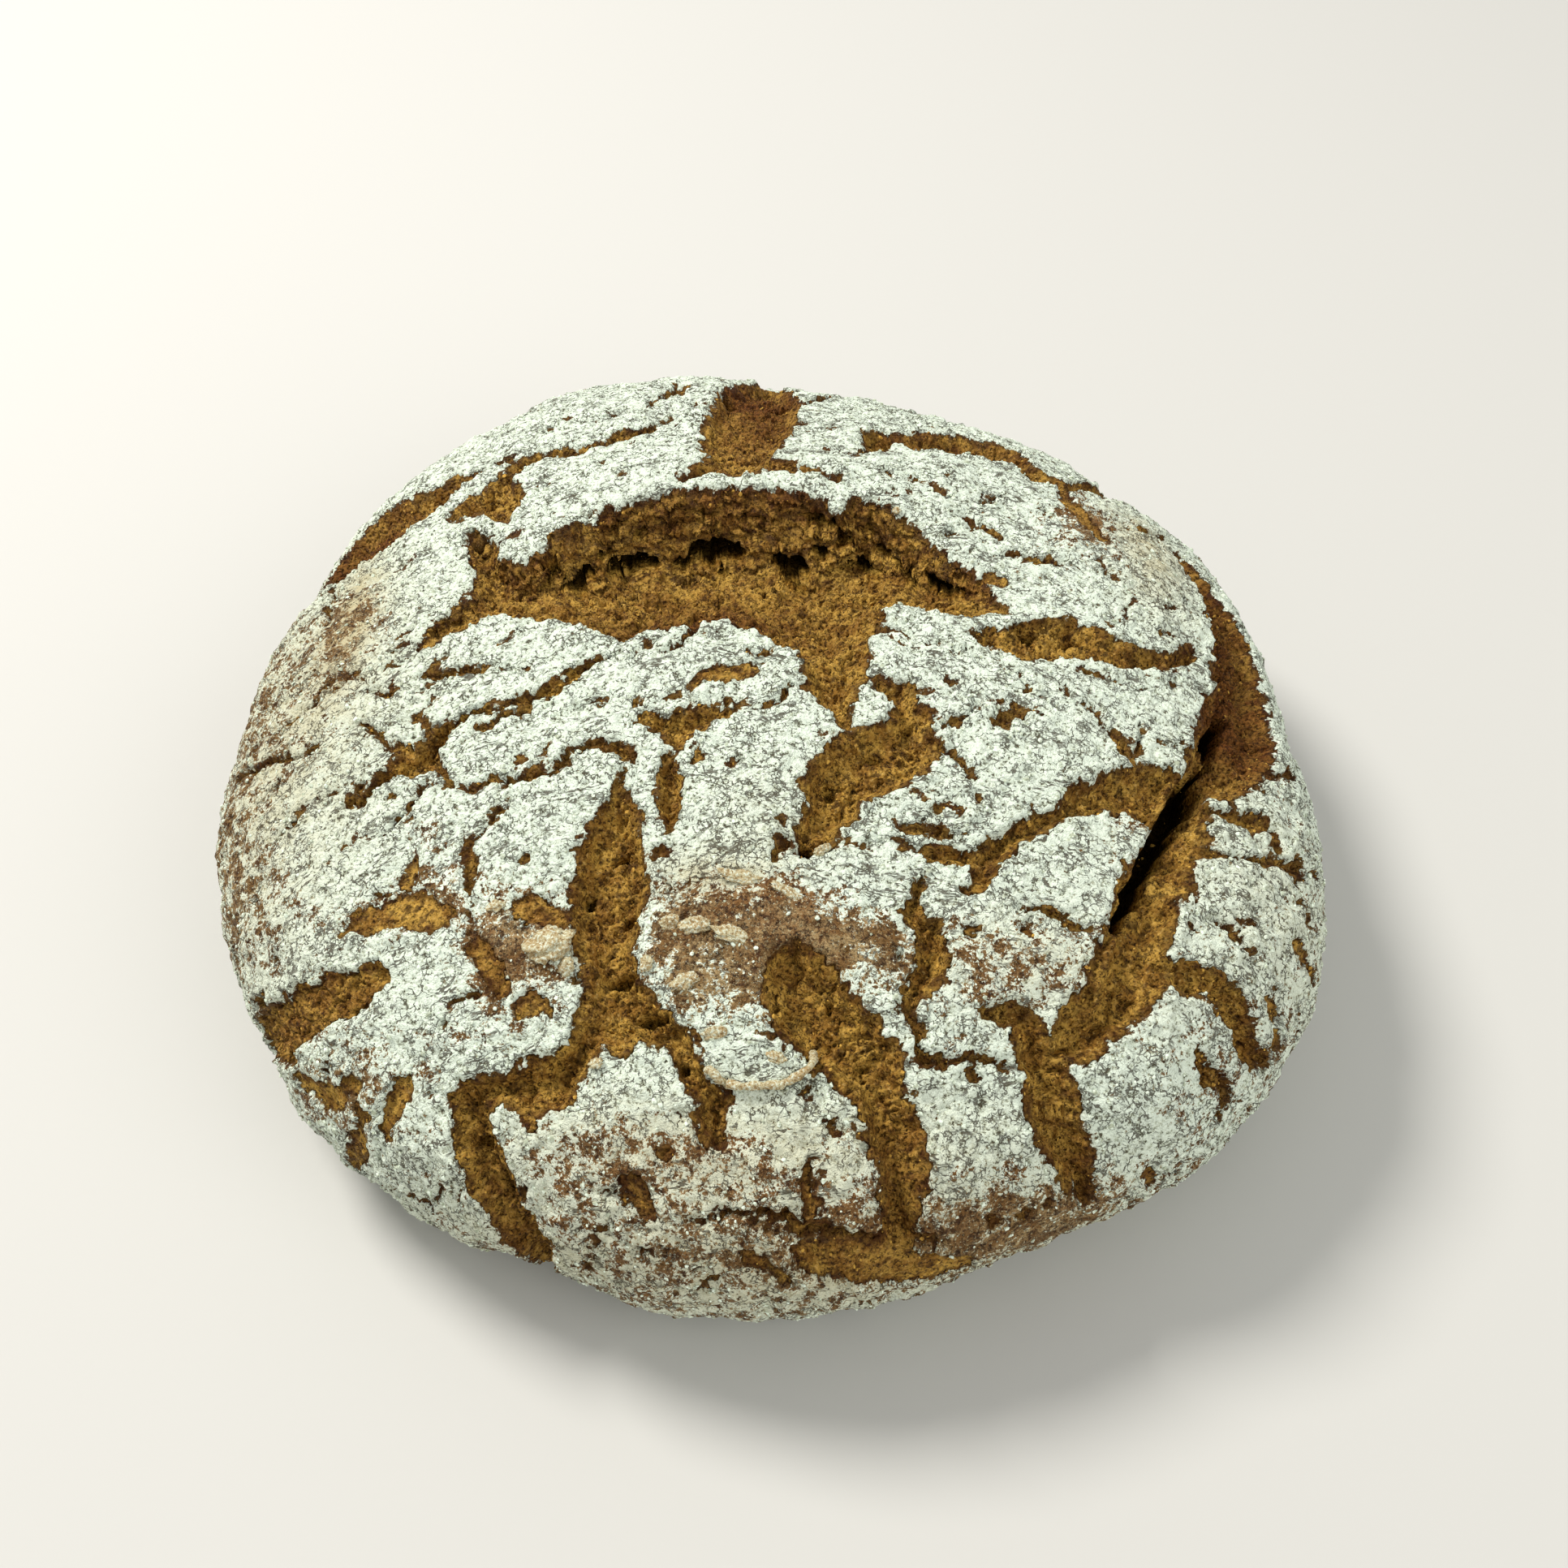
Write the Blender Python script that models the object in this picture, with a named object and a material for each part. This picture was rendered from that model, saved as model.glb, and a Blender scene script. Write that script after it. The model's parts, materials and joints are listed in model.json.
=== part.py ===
"""Farmhouse rye loaf: one uncut, flat-based dome whose floured crust has torn open.

Metres, +Z up. The origin is the middle of the flat base. The crust is laid out as a
flat map: u runs to +X and v to +Y, both in millimetres measured along the crust
from the crown.
"""
from math import atan2, cos, hypot, pi, sin

import bmesh
import bpy
from mathutils import Vector

MM = 0.001
LOAF_HEIGHT = 76.0 * MM
WIDEST_HEIGHT = 28.0 * MM
BASE_RATIO = 0.80
CROWN_POWER = 0.92
# Radii of the widest line, at equal angles counter-clockwise from +X
RIM_RADII_MM = (114, 116, 116, 115, 123, 129, 122, 115, 114, 116, 120, 120, 124, 122, 127, 122)
RIM_SEGMENTS = 72
CROWN_RINGS = 13
SKIRT_RINGS = 6

CUTTER_RISE = 8.0 * MM
FLOOR_SHARE = 0.3
STATIONS_PER_LEG = 2

# Gentle swellings of the crust: middle (u, v), reach along u and v, and height, in mm
SWELLINGS = (
    {"middle": (0, 47), "reach": (42, 10), "height": 4.0},
    {"middle": (52, -26), "reach": (20, 16), "height": 2.5},
    {"middle": (-2, -50), "reach": (15, 18), "height": 2.5},
    {"middle": (-50, -45), "reach": (22, 22), "height": 1.5},
    {"middle": (-85, -45), "reach": (20, 22), "height": 1.5},
    {"middle": (45, -78), "reach": (22, 12), "height": 1.5},
)

# Tears in the crust. A route is (u, v, half width), then the depth, all in mm.
# Lean moves the floor to the left of the route, as a share of the half width.
TEARS = {
    "top_gape": {"depth": 10, "lean": 0.25, "route": (
        (-72, 4, 3), (-61, 15, 9), (-50, 15, 8), (-38, 16, 14), (-25, 17, 18), (-8, 17, 20),
        (10, 17, 20), (26, 18, 17), (38, 13, 12), (49, 8, 7), (58, 3, 2))},
    "centre_channel": {"depth": 8, "route": (
        (17, 4, 9), (16, -8, 8), (15, -19, 5), (18, -30, 1))},
    "fork_channel": {"depth": 7, "route": (
        (24, -20, 2), (28, -26, 4), (26, -34, 7), (16, -42, 7), (12, -50, 5), (8, -59, 1))},
    "back_channel": {"depth": 6, "route": (
        (-1, 40, 6), (-1, 54, 9), (0, 67, 10), (4, 86, 10), (4, 108, 3))},
    "back_left_channel": {"depth": 6, "route": (
        (-106, 57, 3), (-92, 60, 9), (-77, 60, 9), (-67, 64, 4), (-54, 67, 1))},
    "back_left_split": {"depth": 5, "route": (
        (-66, 45, 1), (-57, 51, 6), (-50, 61, 3), (-34, 63, 2), (-20, 69, 2), (-9, 83, 1))},
    "back_right_channel": {"depth": 6, "route": (
        (24, 58, 1), (34, 70, 5), (52, 73, 8), (66, 66, 6), (76, 58, 3), (92, 70, 4))},
    "right_rim_tear": {"depth": 7, "route": (
        (102, 43, 2), (110, 25, 5), (111, 10, 9), (106, -8, 9), (97, -22, 9), (84, -39, 5),
        (70, -55, 3), (60, -73, 2), (50, -94, 1))},
    "right_split": {"depth": 4, "route": (
        (45, -5, 1), (55, -7, 5), (70, -5, 6), (86, -6, 3), (98, 0, 1))},
    "right_front_split": {"depth": 4, "route": (
        (22, -54, 1), (36, -57, 2), (50, -48, 2), (62, -42, 3), (74, -39, 4))},
    "right_front_arc": {"depth": 4, "route": (
        (68, -75, 2), (82, -77, 4), (90, -85, 3), (98, -88, 1))},
    "front_right_channel": {"depth": 5, "route": (
        (39, -87, 1), (47, -91, 3), (52, -103, 5), (58, -114, 4), (65, -123, 1))},
    "front_middle_channel": {"depth": 6, "route": (
        (4, -76, 3), (9, -86, 7), (18, -97, 6), (23, -112, 5), (24, -127, 3))},
    "front_squiggle": {"depth": 4, "route": (
        (28, -64, 1), (30, -75, 3), (28, -84, 2), (26, -93, 1))},
    "front_left_channel": {"depth": 8, "route": (
        (-25, -39, 1), (-26, -49, 5), (-27, -61, 8), (-28, -73, 6), (-26, -87, 6), (-13, -94, 4),
        (-9, -108, 1))},
    "lower_left_channel": {"depth": 6, "route": (
        (-28, -86, 3), (-38, -97, 5), (-52, -100, 4), (-54, -115, 5), (-52, -130, 6),
        (-55, -144, 3))},
    "left_channel": {"depth": 6, "route": (
        (-70, -72, 1), (-81, -75, 5), (-98, -77, 6), (-112, -76, 5), (-122, -77, 2))},
    "left_crack": {"depth": 3, "route": (
        (-26, -7, 1), (-41, -17, 2), (-57, -20, 2), (-67, -28, 3), (-80, -35, 1))},
    "left_triangle": {"depth": 4, "route": (
        (-22, -25, 1), (-14, -28, 5), (-2, -22, 1))},
    "middle_oval": {"depth": 4, "route": (
        (-16, -35, 1), (-16, -44, 4), (-16, -52, 1))},
}

CRUST_COLOUR = (0.60, 0.58, 0.50, 1.0)
CRUST_ROUGHNESS = 0.85


def catmull_rom(before, start, end, after, part):
    """Value between start and end on the smooth curve through four neighbours."""
    linear = after - before - 3 * (end - start)
    square = 2 * before - 5 * start + 4 * end - after
    return start + 0.5 * part * ((end - before) + part * (square + part * linear))


def rim_radius(angle):
    """Radius of the widest line at an angle from +X."""
    count = len(RIM_RADII_MM)
    place = angle / (2 * pi) * count % count
    first = int(place)
    near = [RIM_RADII_MM[(first + step) % count] for step in (-1, 0, 1, 2)]
    return catmull_rom(*near, place - first) * MM


def rim_centre():
    """Middle of the outline's box, which becomes the origin."""
    steps = [2 * pi * step / 360 for step in range(360)]
    along_x = [rim_radius(angle) * cos(angle) for angle in steps]
    along_y = [rim_radius(angle) * sin(angle) for angle in steps]
    return (min(along_x) + max(along_x)) / 2, (min(along_y) + max(along_y)) / 2


CENTRE_X, CENTRE_Y = rim_centre()
MEAN_RADIUS = sum(RIM_RADII_MM) / len(RIM_RADII_MM) * MM


def profile(station):
    """Radius share and height: station 0 is the crown, 1 the widest line, 2 the base edge."""
    if station <= 1:
        turn = station * pi / 2
        crown = (LOAF_HEIGHT - WIDEST_HEIGHT) * max(cos(turn), 0) ** CROWN_POWER
        return sin(turn), WIDEST_HEIGHT + crown
    turn = (min(station, 2) - 1) * pi / 2
    return BASE_RATIO + (1 - BASE_RATIO) * cos(turn), WIDEST_HEIGHT * (1 - sin(turn))


def arc_lengths(steps=200):
    """Length of the mean profile from the crown to each of a row of stations."""
    lengths = [0.0]
    last_share, last_height = profile(0)
    for step in range(1, 2 * steps + 1):
        share, height = profile(step / steps)
        run = hypot((share - last_share) * MEAN_RADIUS, height - last_height)
        lengths.append(lengths[-1] + run)
        last_share, last_height = share, height
    return lengths


ARC_LENGTHS = arc_lengths()


def station_at(length):
    """Station of the profile at a length along the crust from the crown."""
    steps = (len(ARC_LENGTHS) - 1) / 2
    for step in range(1, len(ARC_LENGTHS)):
        if ARC_LENGTHS[step] >= length:
            gap = ARC_LENGTHS[step] - ARC_LENGTHS[step - 1]
            return (step - 1 + (length - ARC_LENGTHS[step - 1]) / gap) / steps
    return 2.0


def plain_point(u, v):
    """Point of the smooth dome at a place on the crust map."""
    angle = atan2(v, u)
    share, height = profile(station_at(hypot(u, v) * MM))
    radius = rim_radius(angle) * share
    return Vector((radius * cos(angle) - CENTRE_X, radius * sin(angle) - CENTRE_Y, height))


def crust_point(u, v, rise):
    """Point at a height above the smooth dome, square to it."""
    reach = 1.0
    middle = plain_point(u, v)
    along_u = plain_point(u + reach, v) - plain_point(u - reach, v)
    along_v = plain_point(u, v + reach) - plain_point(u, v - reach)
    return middle + along_u.cross(along_v).normalized() * rise


def swelling(u, v):
    """Height that the gentle swellings add at a place on the crust map."""
    total = 0.0
    for lump in SWELLINGS:
        across = (u - lump["middle"][0]) / lump["reach"][0]
        along = (v - lump["middle"][1]) / lump["reach"][1]
        total += lump["height"] * max(0.0, 1 - across * across - along * along) ** 2
    return total * MM


def dome_ring(mesh, station):
    """One closed ring of vertices round the loaf."""
    length = ARC_LENGTHS[round(station * (len(ARC_LENGTHS) - 1) / 2)] / MM
    ring = []
    for step in range(RIM_SEGMENTS):
        angle = 2 * pi * step / RIM_SEGMENTS
        u, v = length * cos(angle), length * sin(angle)
        rise = swelling(u, v) if station < 1 else 0.0
        ring.append(mesh.verts.new(crust_point(u, v, rise) if rise else plain_point(u, v)))
    return ring


def crust_material():
    """Pale floured crust."""
    material = bpy.data.materials.new("floured_crust")
    material.use_nodes = True
    shader = material.node_tree.nodes["Principled BSDF"]
    shader.inputs["Base Color"].default_value = CRUST_COLOUR
    shader.inputs["Roughness"].default_value = CRUST_ROUGHNESS
    shader.inputs["Metallic"].default_value = 0.0
    material.diffuse_color = CRUST_COLOUR
    return material


def make_object(name, mesh):
    """Put a closed mesh in the scene with its faces pointing out."""
    bmesh.ops.recalc_face_normals(mesh, faces=mesh.faces[:])
    data = bpy.data.meshes.new(name)
    mesh.to_mesh(data)
    mesh.free()
    piece = bpy.data.objects.new(name, data)
    bpy.context.scene.collection.objects.link(piece)
    return piece


def make_dome():
    """The loaf before it tore: crown, skirt and flat base."""
    mesh = bmesh.new()
    stations = [step / CROWN_RINGS for step in range(1, CROWN_RINGS + 1)]
    stations += [1 + step / SKIRT_RINGS for step in range(1, SKIRT_RINGS + 1)]
    rings = [dome_ring(mesh, station) for station in stations]
    top = mesh.verts.new(plain_point(0, 0))
    bottom = mesh.verts.new((0, 0, 0))
    for step in range(RIM_SEGMENTS):
        after = (step + 1) % RIM_SEGMENTS
        mesh.faces.new((top, rings[0][step], rings[0][after]))
        mesh.faces.new((bottom, rings[-1][after], rings[-1][step]))
        for upper, lower in zip(rings, rings[1:]):
            mesh.faces.new((upper[step], lower[step], lower[after], upper[after]))
    return make_object("loaf", mesh)


def smooth_route(route):
    """The route with extra stations on a smooth curve through its points."""
    points = [route[0], *route, route[-1]]
    stations = []
    for leg in range(len(route) - 1):
        near = points[leg:leg + 4]
        for step in range(STATIONS_PER_LEG):
            part = step / STATIONS_PER_LEG
            stations.append([catmull_rom(*values, part) for values in zip(*near)])
    stations.append(list(route[-1]))
    return stations


def tear_section(station, sideways, depth, lean):
    """Four corners of a tear's cutter: the open top and the narrower floor."""
    u, v, half_width = station
    floor = half_width * FLOOR_SHARE
    wall = half_width - floor
    rise = CUTTER_RISE / MM
    corners = []
    for side, height in ((-1, rise), (1, rise), (1, -depth), (-1, -depth)):
        half = floor + wall * (height + depth) / depth
        shift = side * half - lean * half_width * height / depth
        spot = (u + sideways[0] * shift, v + sideways[1] * shift)
        corners.append(crust_point(*spot, height * MM))
    return corners


def make_cutter(name, tear):
    """Tapered wedge that follows a tear's route along the crust."""
    mesh = bmesh.new()
    stations = smooth_route(tear["route"])
    sections = []
    for index, station in enumerate(stations):
        ahead = stations[min(index + 1, len(stations) - 1)]
        behind = stations[max(index - 1, 0)]
        run = hypot(ahead[0] - behind[0], ahead[1] - behind[1])
        sideways = ((behind[1] - ahead[1]) / run, (ahead[0] - behind[0]) / run)
        corners = tear_section(station, sideways, tear["depth"], tear.get("lean", 0.0))
        sections.append([mesh.verts.new(corner) for corner in corners])
    for near, far in zip(sections, sections[1:]):
        for side in range(4):
            after = (side + 1) % 4
            mesh.faces.new((near[side], near[after], far[after], far[side]))
    mesh.faces.new(reversed(sections[0]))
    mesh.faces.new(sections[-1])
    bmesh.ops.triangulate(mesh, faces=mesh.faces[:])
    cutter = make_object(name + "_cutter", mesh)
    cutter.hide_render = True
    cutter.display_type = "WIRE"
    return cutter


def main():
    for old in list(bpy.data.objects):
        bpy.data.objects.remove(old, do_unlink=True)
    loaf = make_dome()
    loaf.data.materials.append(crust_material())
    for name, tear in TEARS.items():
        cut = loaf.modifiers.new(name, "BOOLEAN")
        cut.operation = "DIFFERENCE"
        cut.solver = "EXACT"
        cut.object = make_cutter(name, tear)


main()
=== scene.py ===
import json
from math import radians

import bpy
import numpy as np
from mathutils import Euler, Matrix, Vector

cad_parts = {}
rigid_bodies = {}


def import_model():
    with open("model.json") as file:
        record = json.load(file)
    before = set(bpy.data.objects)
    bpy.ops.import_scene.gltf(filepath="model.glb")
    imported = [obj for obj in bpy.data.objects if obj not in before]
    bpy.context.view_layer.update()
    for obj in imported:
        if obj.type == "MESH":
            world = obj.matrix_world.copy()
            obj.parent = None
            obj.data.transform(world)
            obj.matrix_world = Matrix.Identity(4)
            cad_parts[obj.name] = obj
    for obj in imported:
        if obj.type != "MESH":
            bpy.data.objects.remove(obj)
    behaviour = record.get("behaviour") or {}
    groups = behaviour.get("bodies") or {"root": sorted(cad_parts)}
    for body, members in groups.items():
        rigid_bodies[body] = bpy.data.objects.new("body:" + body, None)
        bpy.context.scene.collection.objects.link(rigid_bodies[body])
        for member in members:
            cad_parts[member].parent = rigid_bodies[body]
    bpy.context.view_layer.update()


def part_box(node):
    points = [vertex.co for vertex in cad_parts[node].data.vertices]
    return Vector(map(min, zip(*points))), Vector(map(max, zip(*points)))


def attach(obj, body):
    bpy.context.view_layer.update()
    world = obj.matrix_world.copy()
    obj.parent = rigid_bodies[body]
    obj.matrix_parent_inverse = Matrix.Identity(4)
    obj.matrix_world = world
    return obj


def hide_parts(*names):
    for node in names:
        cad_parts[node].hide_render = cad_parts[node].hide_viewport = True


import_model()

loafLow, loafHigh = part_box("loaf")
mm = 0.001

# The loaf's form before it tore: the widest line's radii run counter-clockwise from +X
loafForm = {
    "rimRadii": (114, 116, 116, 115, 123, 129, 122, 115, 114, 116, 120, 120, 124, 122, 127, 122),
    "widestHeight": 28.0,
    "baseShare": 0.80,
    "crownPower": 0.92,
    "gridSide": 612,
}

# Broad swellings of the crust: middle u, v, reach along u, v and height, in mm
swellings = (
    (-2, 44, 46, 13, 3.6),
    (52, -26, 22, 18, 2.0),
    (-2, -48, 15, 20, 2.2),
    (-52, -46, 24, 22, 1.8),
    (-92, -45, 22, 24, 1.4),
    (45, -78, 22, 12, 1.2),
    (78, 22, 22, 26, 1.8),
    (94, -64, 16, 12, 1.4),
    (-48, 4, 20, 12, 1.4),
    (-2, -68, 13, 8, 1.6),
    (-28, 85, 22, 14, 1.5),
    (40, 55, 22, 12, 1.4),
)


def deselectAll():
    for item in bpy.context.selected_objects:
        item.select_set(False)


def makeActive(piece):
    deselectAll()
    piece.select_set(True)
    bpy.context.view_layer.objects.active = piece


def rimRadius(angle):
    radii = np.array(loafForm["rimRadii"], float)
    count = len(radii)
    place = angle / (2 * np.pi) * count % count
    first = np.floor(place).astype(int)
    part = place - first
    before, start, end, after = (radii[(first + step) % count] for step in (-1, 0, 1, 2))
    linear = after - before - 3 * (end - start)
    square = 2 * before - 5 * start + 4 * end - after
    return start + 0.5 * part * ((end - before) + part * (square + part * linear))


outlineAngles = np.linspace(0, 2 * np.pi, 720, endpoint=False)
outlineX = rimRadius(outlineAngles) * np.cos(outlineAngles)
outlineY = rimRadius(outlineAngles) * np.sin(outlineAngles)
loafForm["scaleX"] = (loafHigh.x - loafLow.x) / (outlineX.max() - outlineX.min())
loafForm["scaleY"] = (loafHigh.y - loafLow.y) / (outlineY.max() - outlineY.min())
loafForm["middle"] = ((outlineX.max() + outlineX.min()) / 2, (outlineY.max() + outlineY.min()) / 2)
loafForm["height"] = loafHigh.z / mm


def domeProfile(station):
    widest, base = loafForm["widestHeight"], loafForm["baseShare"]
    upper = np.clip(station, 0, 1) * np.pi / 2
    lower = np.clip(station - 1, 0, 1) * np.pi / 2
    crown = widest + (loafForm["height"] - widest) * np.clip(np.cos(upper), 0, 1) ** loafForm["crownPower"]
    share = np.where(station <= 1, np.sin(upper), base + (1 - base) * np.cos(lower))
    return share, np.where(station <= 1, crown, widest * (1 - np.sin(lower)))


profileStations = np.linspace(0, 2, 3000)
profileShare, profileHeight = domeProfile(profileStations)
profileRuns = np.hypot(np.diff(profileShare * np.mean(loafForm["rimRadii"])), np.diff(profileHeight))
profileLengths = np.concatenate(([0], np.cumsum(profileRuns)))
skirtLength = profileLengths[-1]


def crustPoints(u, v):
    # the crust is laid out as a flat map: u, v in mm along the crust from the crown
    angle = np.arctan2(v, u)
    share, height = domeProfile(np.interp(np.hypot(u, v), profileLengths, profileStations))
    radius = rimRadius(angle % (2 * np.pi)) * share
    x = (radius * np.cos(angle) - loafForm["middle"][0]) * loafForm["scaleX"]
    y = (radius * np.sin(angle) - loafForm["middle"][1]) * loafForm["scaleY"]
    return np.stack([x, y, height * mm], -1)


# Noise on the crust map

def smoothNoise(x, y, seed):
    angles = np.random.default_rng(seed).uniform(0, 2 * np.pi, (256, 256))
    slopeX, slopeY = np.cos(angles), np.sin(angles)
    cellX, cellY = np.floor(x).astype(int), np.floor(y).astype(int)
    partX, partY = x - cellX, y - cellY
    easeX = partX ** 3 * (partX * (partX * 6 - 15) + 10)
    easeY = partY ** 3 * (partY * (partY * 6 - 15) + 10)

    def corner(stepX, stepY):
        at = ((cellX + stepX) % 256, (cellY + stepY) % 256)
        return slopeX[at] * (partX - stepX) + slopeY[at] * (partY - stepY)

    near = corner(0, 0) * (1 - easeX) + corner(1, 0) * easeX
    far = corner(0, 1) * (1 - easeX) + corner(1, 1) * easeX
    return (near * (1 - easeY) + far * easeY) * 1.6


def layeredNoise(u, v, size, seed, layers=3):
    total, weight = 0.0, 1.0
    for layer in range(layers):
        shift = 17.3 * layer
        total = total + weight * smoothNoise(u / size + shift, v / size - shift, seed + layer)
        size, weight = size / 2.1, weight * 0.5
    return total


def scatteredSpots(u, v, size, seed):
    # distances to the nearest and second nearest of scattered points,
    # and the nearest one's place and its own two draws
    draws = np.random.default_rng(seed).uniform(0, 1, (4, 128, 128))
    cellX, cellY = np.floor(u / size).astype(int), np.floor(v / size).astype(int)
    nearest = np.full(np.shape(u), 9.0)
    second = np.full(np.shape(u), 9.0)
    best = [np.zeros(np.shape(u)) for part in range(4)]
    for stepX in (-1, 0, 1):
        for stepY in (-1, 0, 1):
            x, y = cellX + stepX, cellY + stepY
            drawn = draws[:, x % 128, y % 128]
            spot = (x + drawn[0], y + drawn[1], drawn[2], drawn[3])
            reach = np.hypot(u / size - spot[0], v / size - spot[1])
            closer = reach < nearest
            second = np.minimum(second, np.maximum(nearest, reach))
            nearest = np.where(closer, reach, nearest)
            best = [np.where(closer, new, old) for new, old in zip(spot, best)]
    return nearest, second, best[0] * size, best[1] * size, best[2], best[3]


def chipped(u, v, size, seed, pull):
    # places drawn towards scattered points, so that edges run in small straight chips
    spotU, spotV = scatteredSpots(u, v, size, seed)[2:4]
    return u + (spotU - u) * pull, v + (spotV - v) * pull


def facets(u, v, size, seed, slope=1.0):
    # small tilted faces with steps between them, from about -1 to 1
    nearest, second, spotU, spotV, turn, level = scatteredSpots(u, v, size, seed)
    turn = turn * 2 * np.pi
    tilted = ((u - spotU) * np.cos(turn) + (v - spotV) * np.sin(turn)) / size
    return slope * tilted + level - 0.5 - 0.5 * ease(second - nearest, 0.22, 0.0)


def ease(value, low, high):
    part = np.clip((value - low) / (high - low), 0, 1)
    return part * part * (3 - 2 * part)


# The tears. A point is u, v and half width in mm; depth is in mm.
tearKinds = {
    "channel": {"depth": 4.0, "wall": 4.2},
    "split": {"depth": 2.8, "wall": 2.8},
    "crack": {"depth": 1.5, "wall": 1.0},
    "hair": {"depth": 0.8, "wall": 0.7},
    "bare": {"depth": 0.5, "wall": 1.2},
    "fissure": {"depth": 14.0, "wall": 1.6},
}

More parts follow.
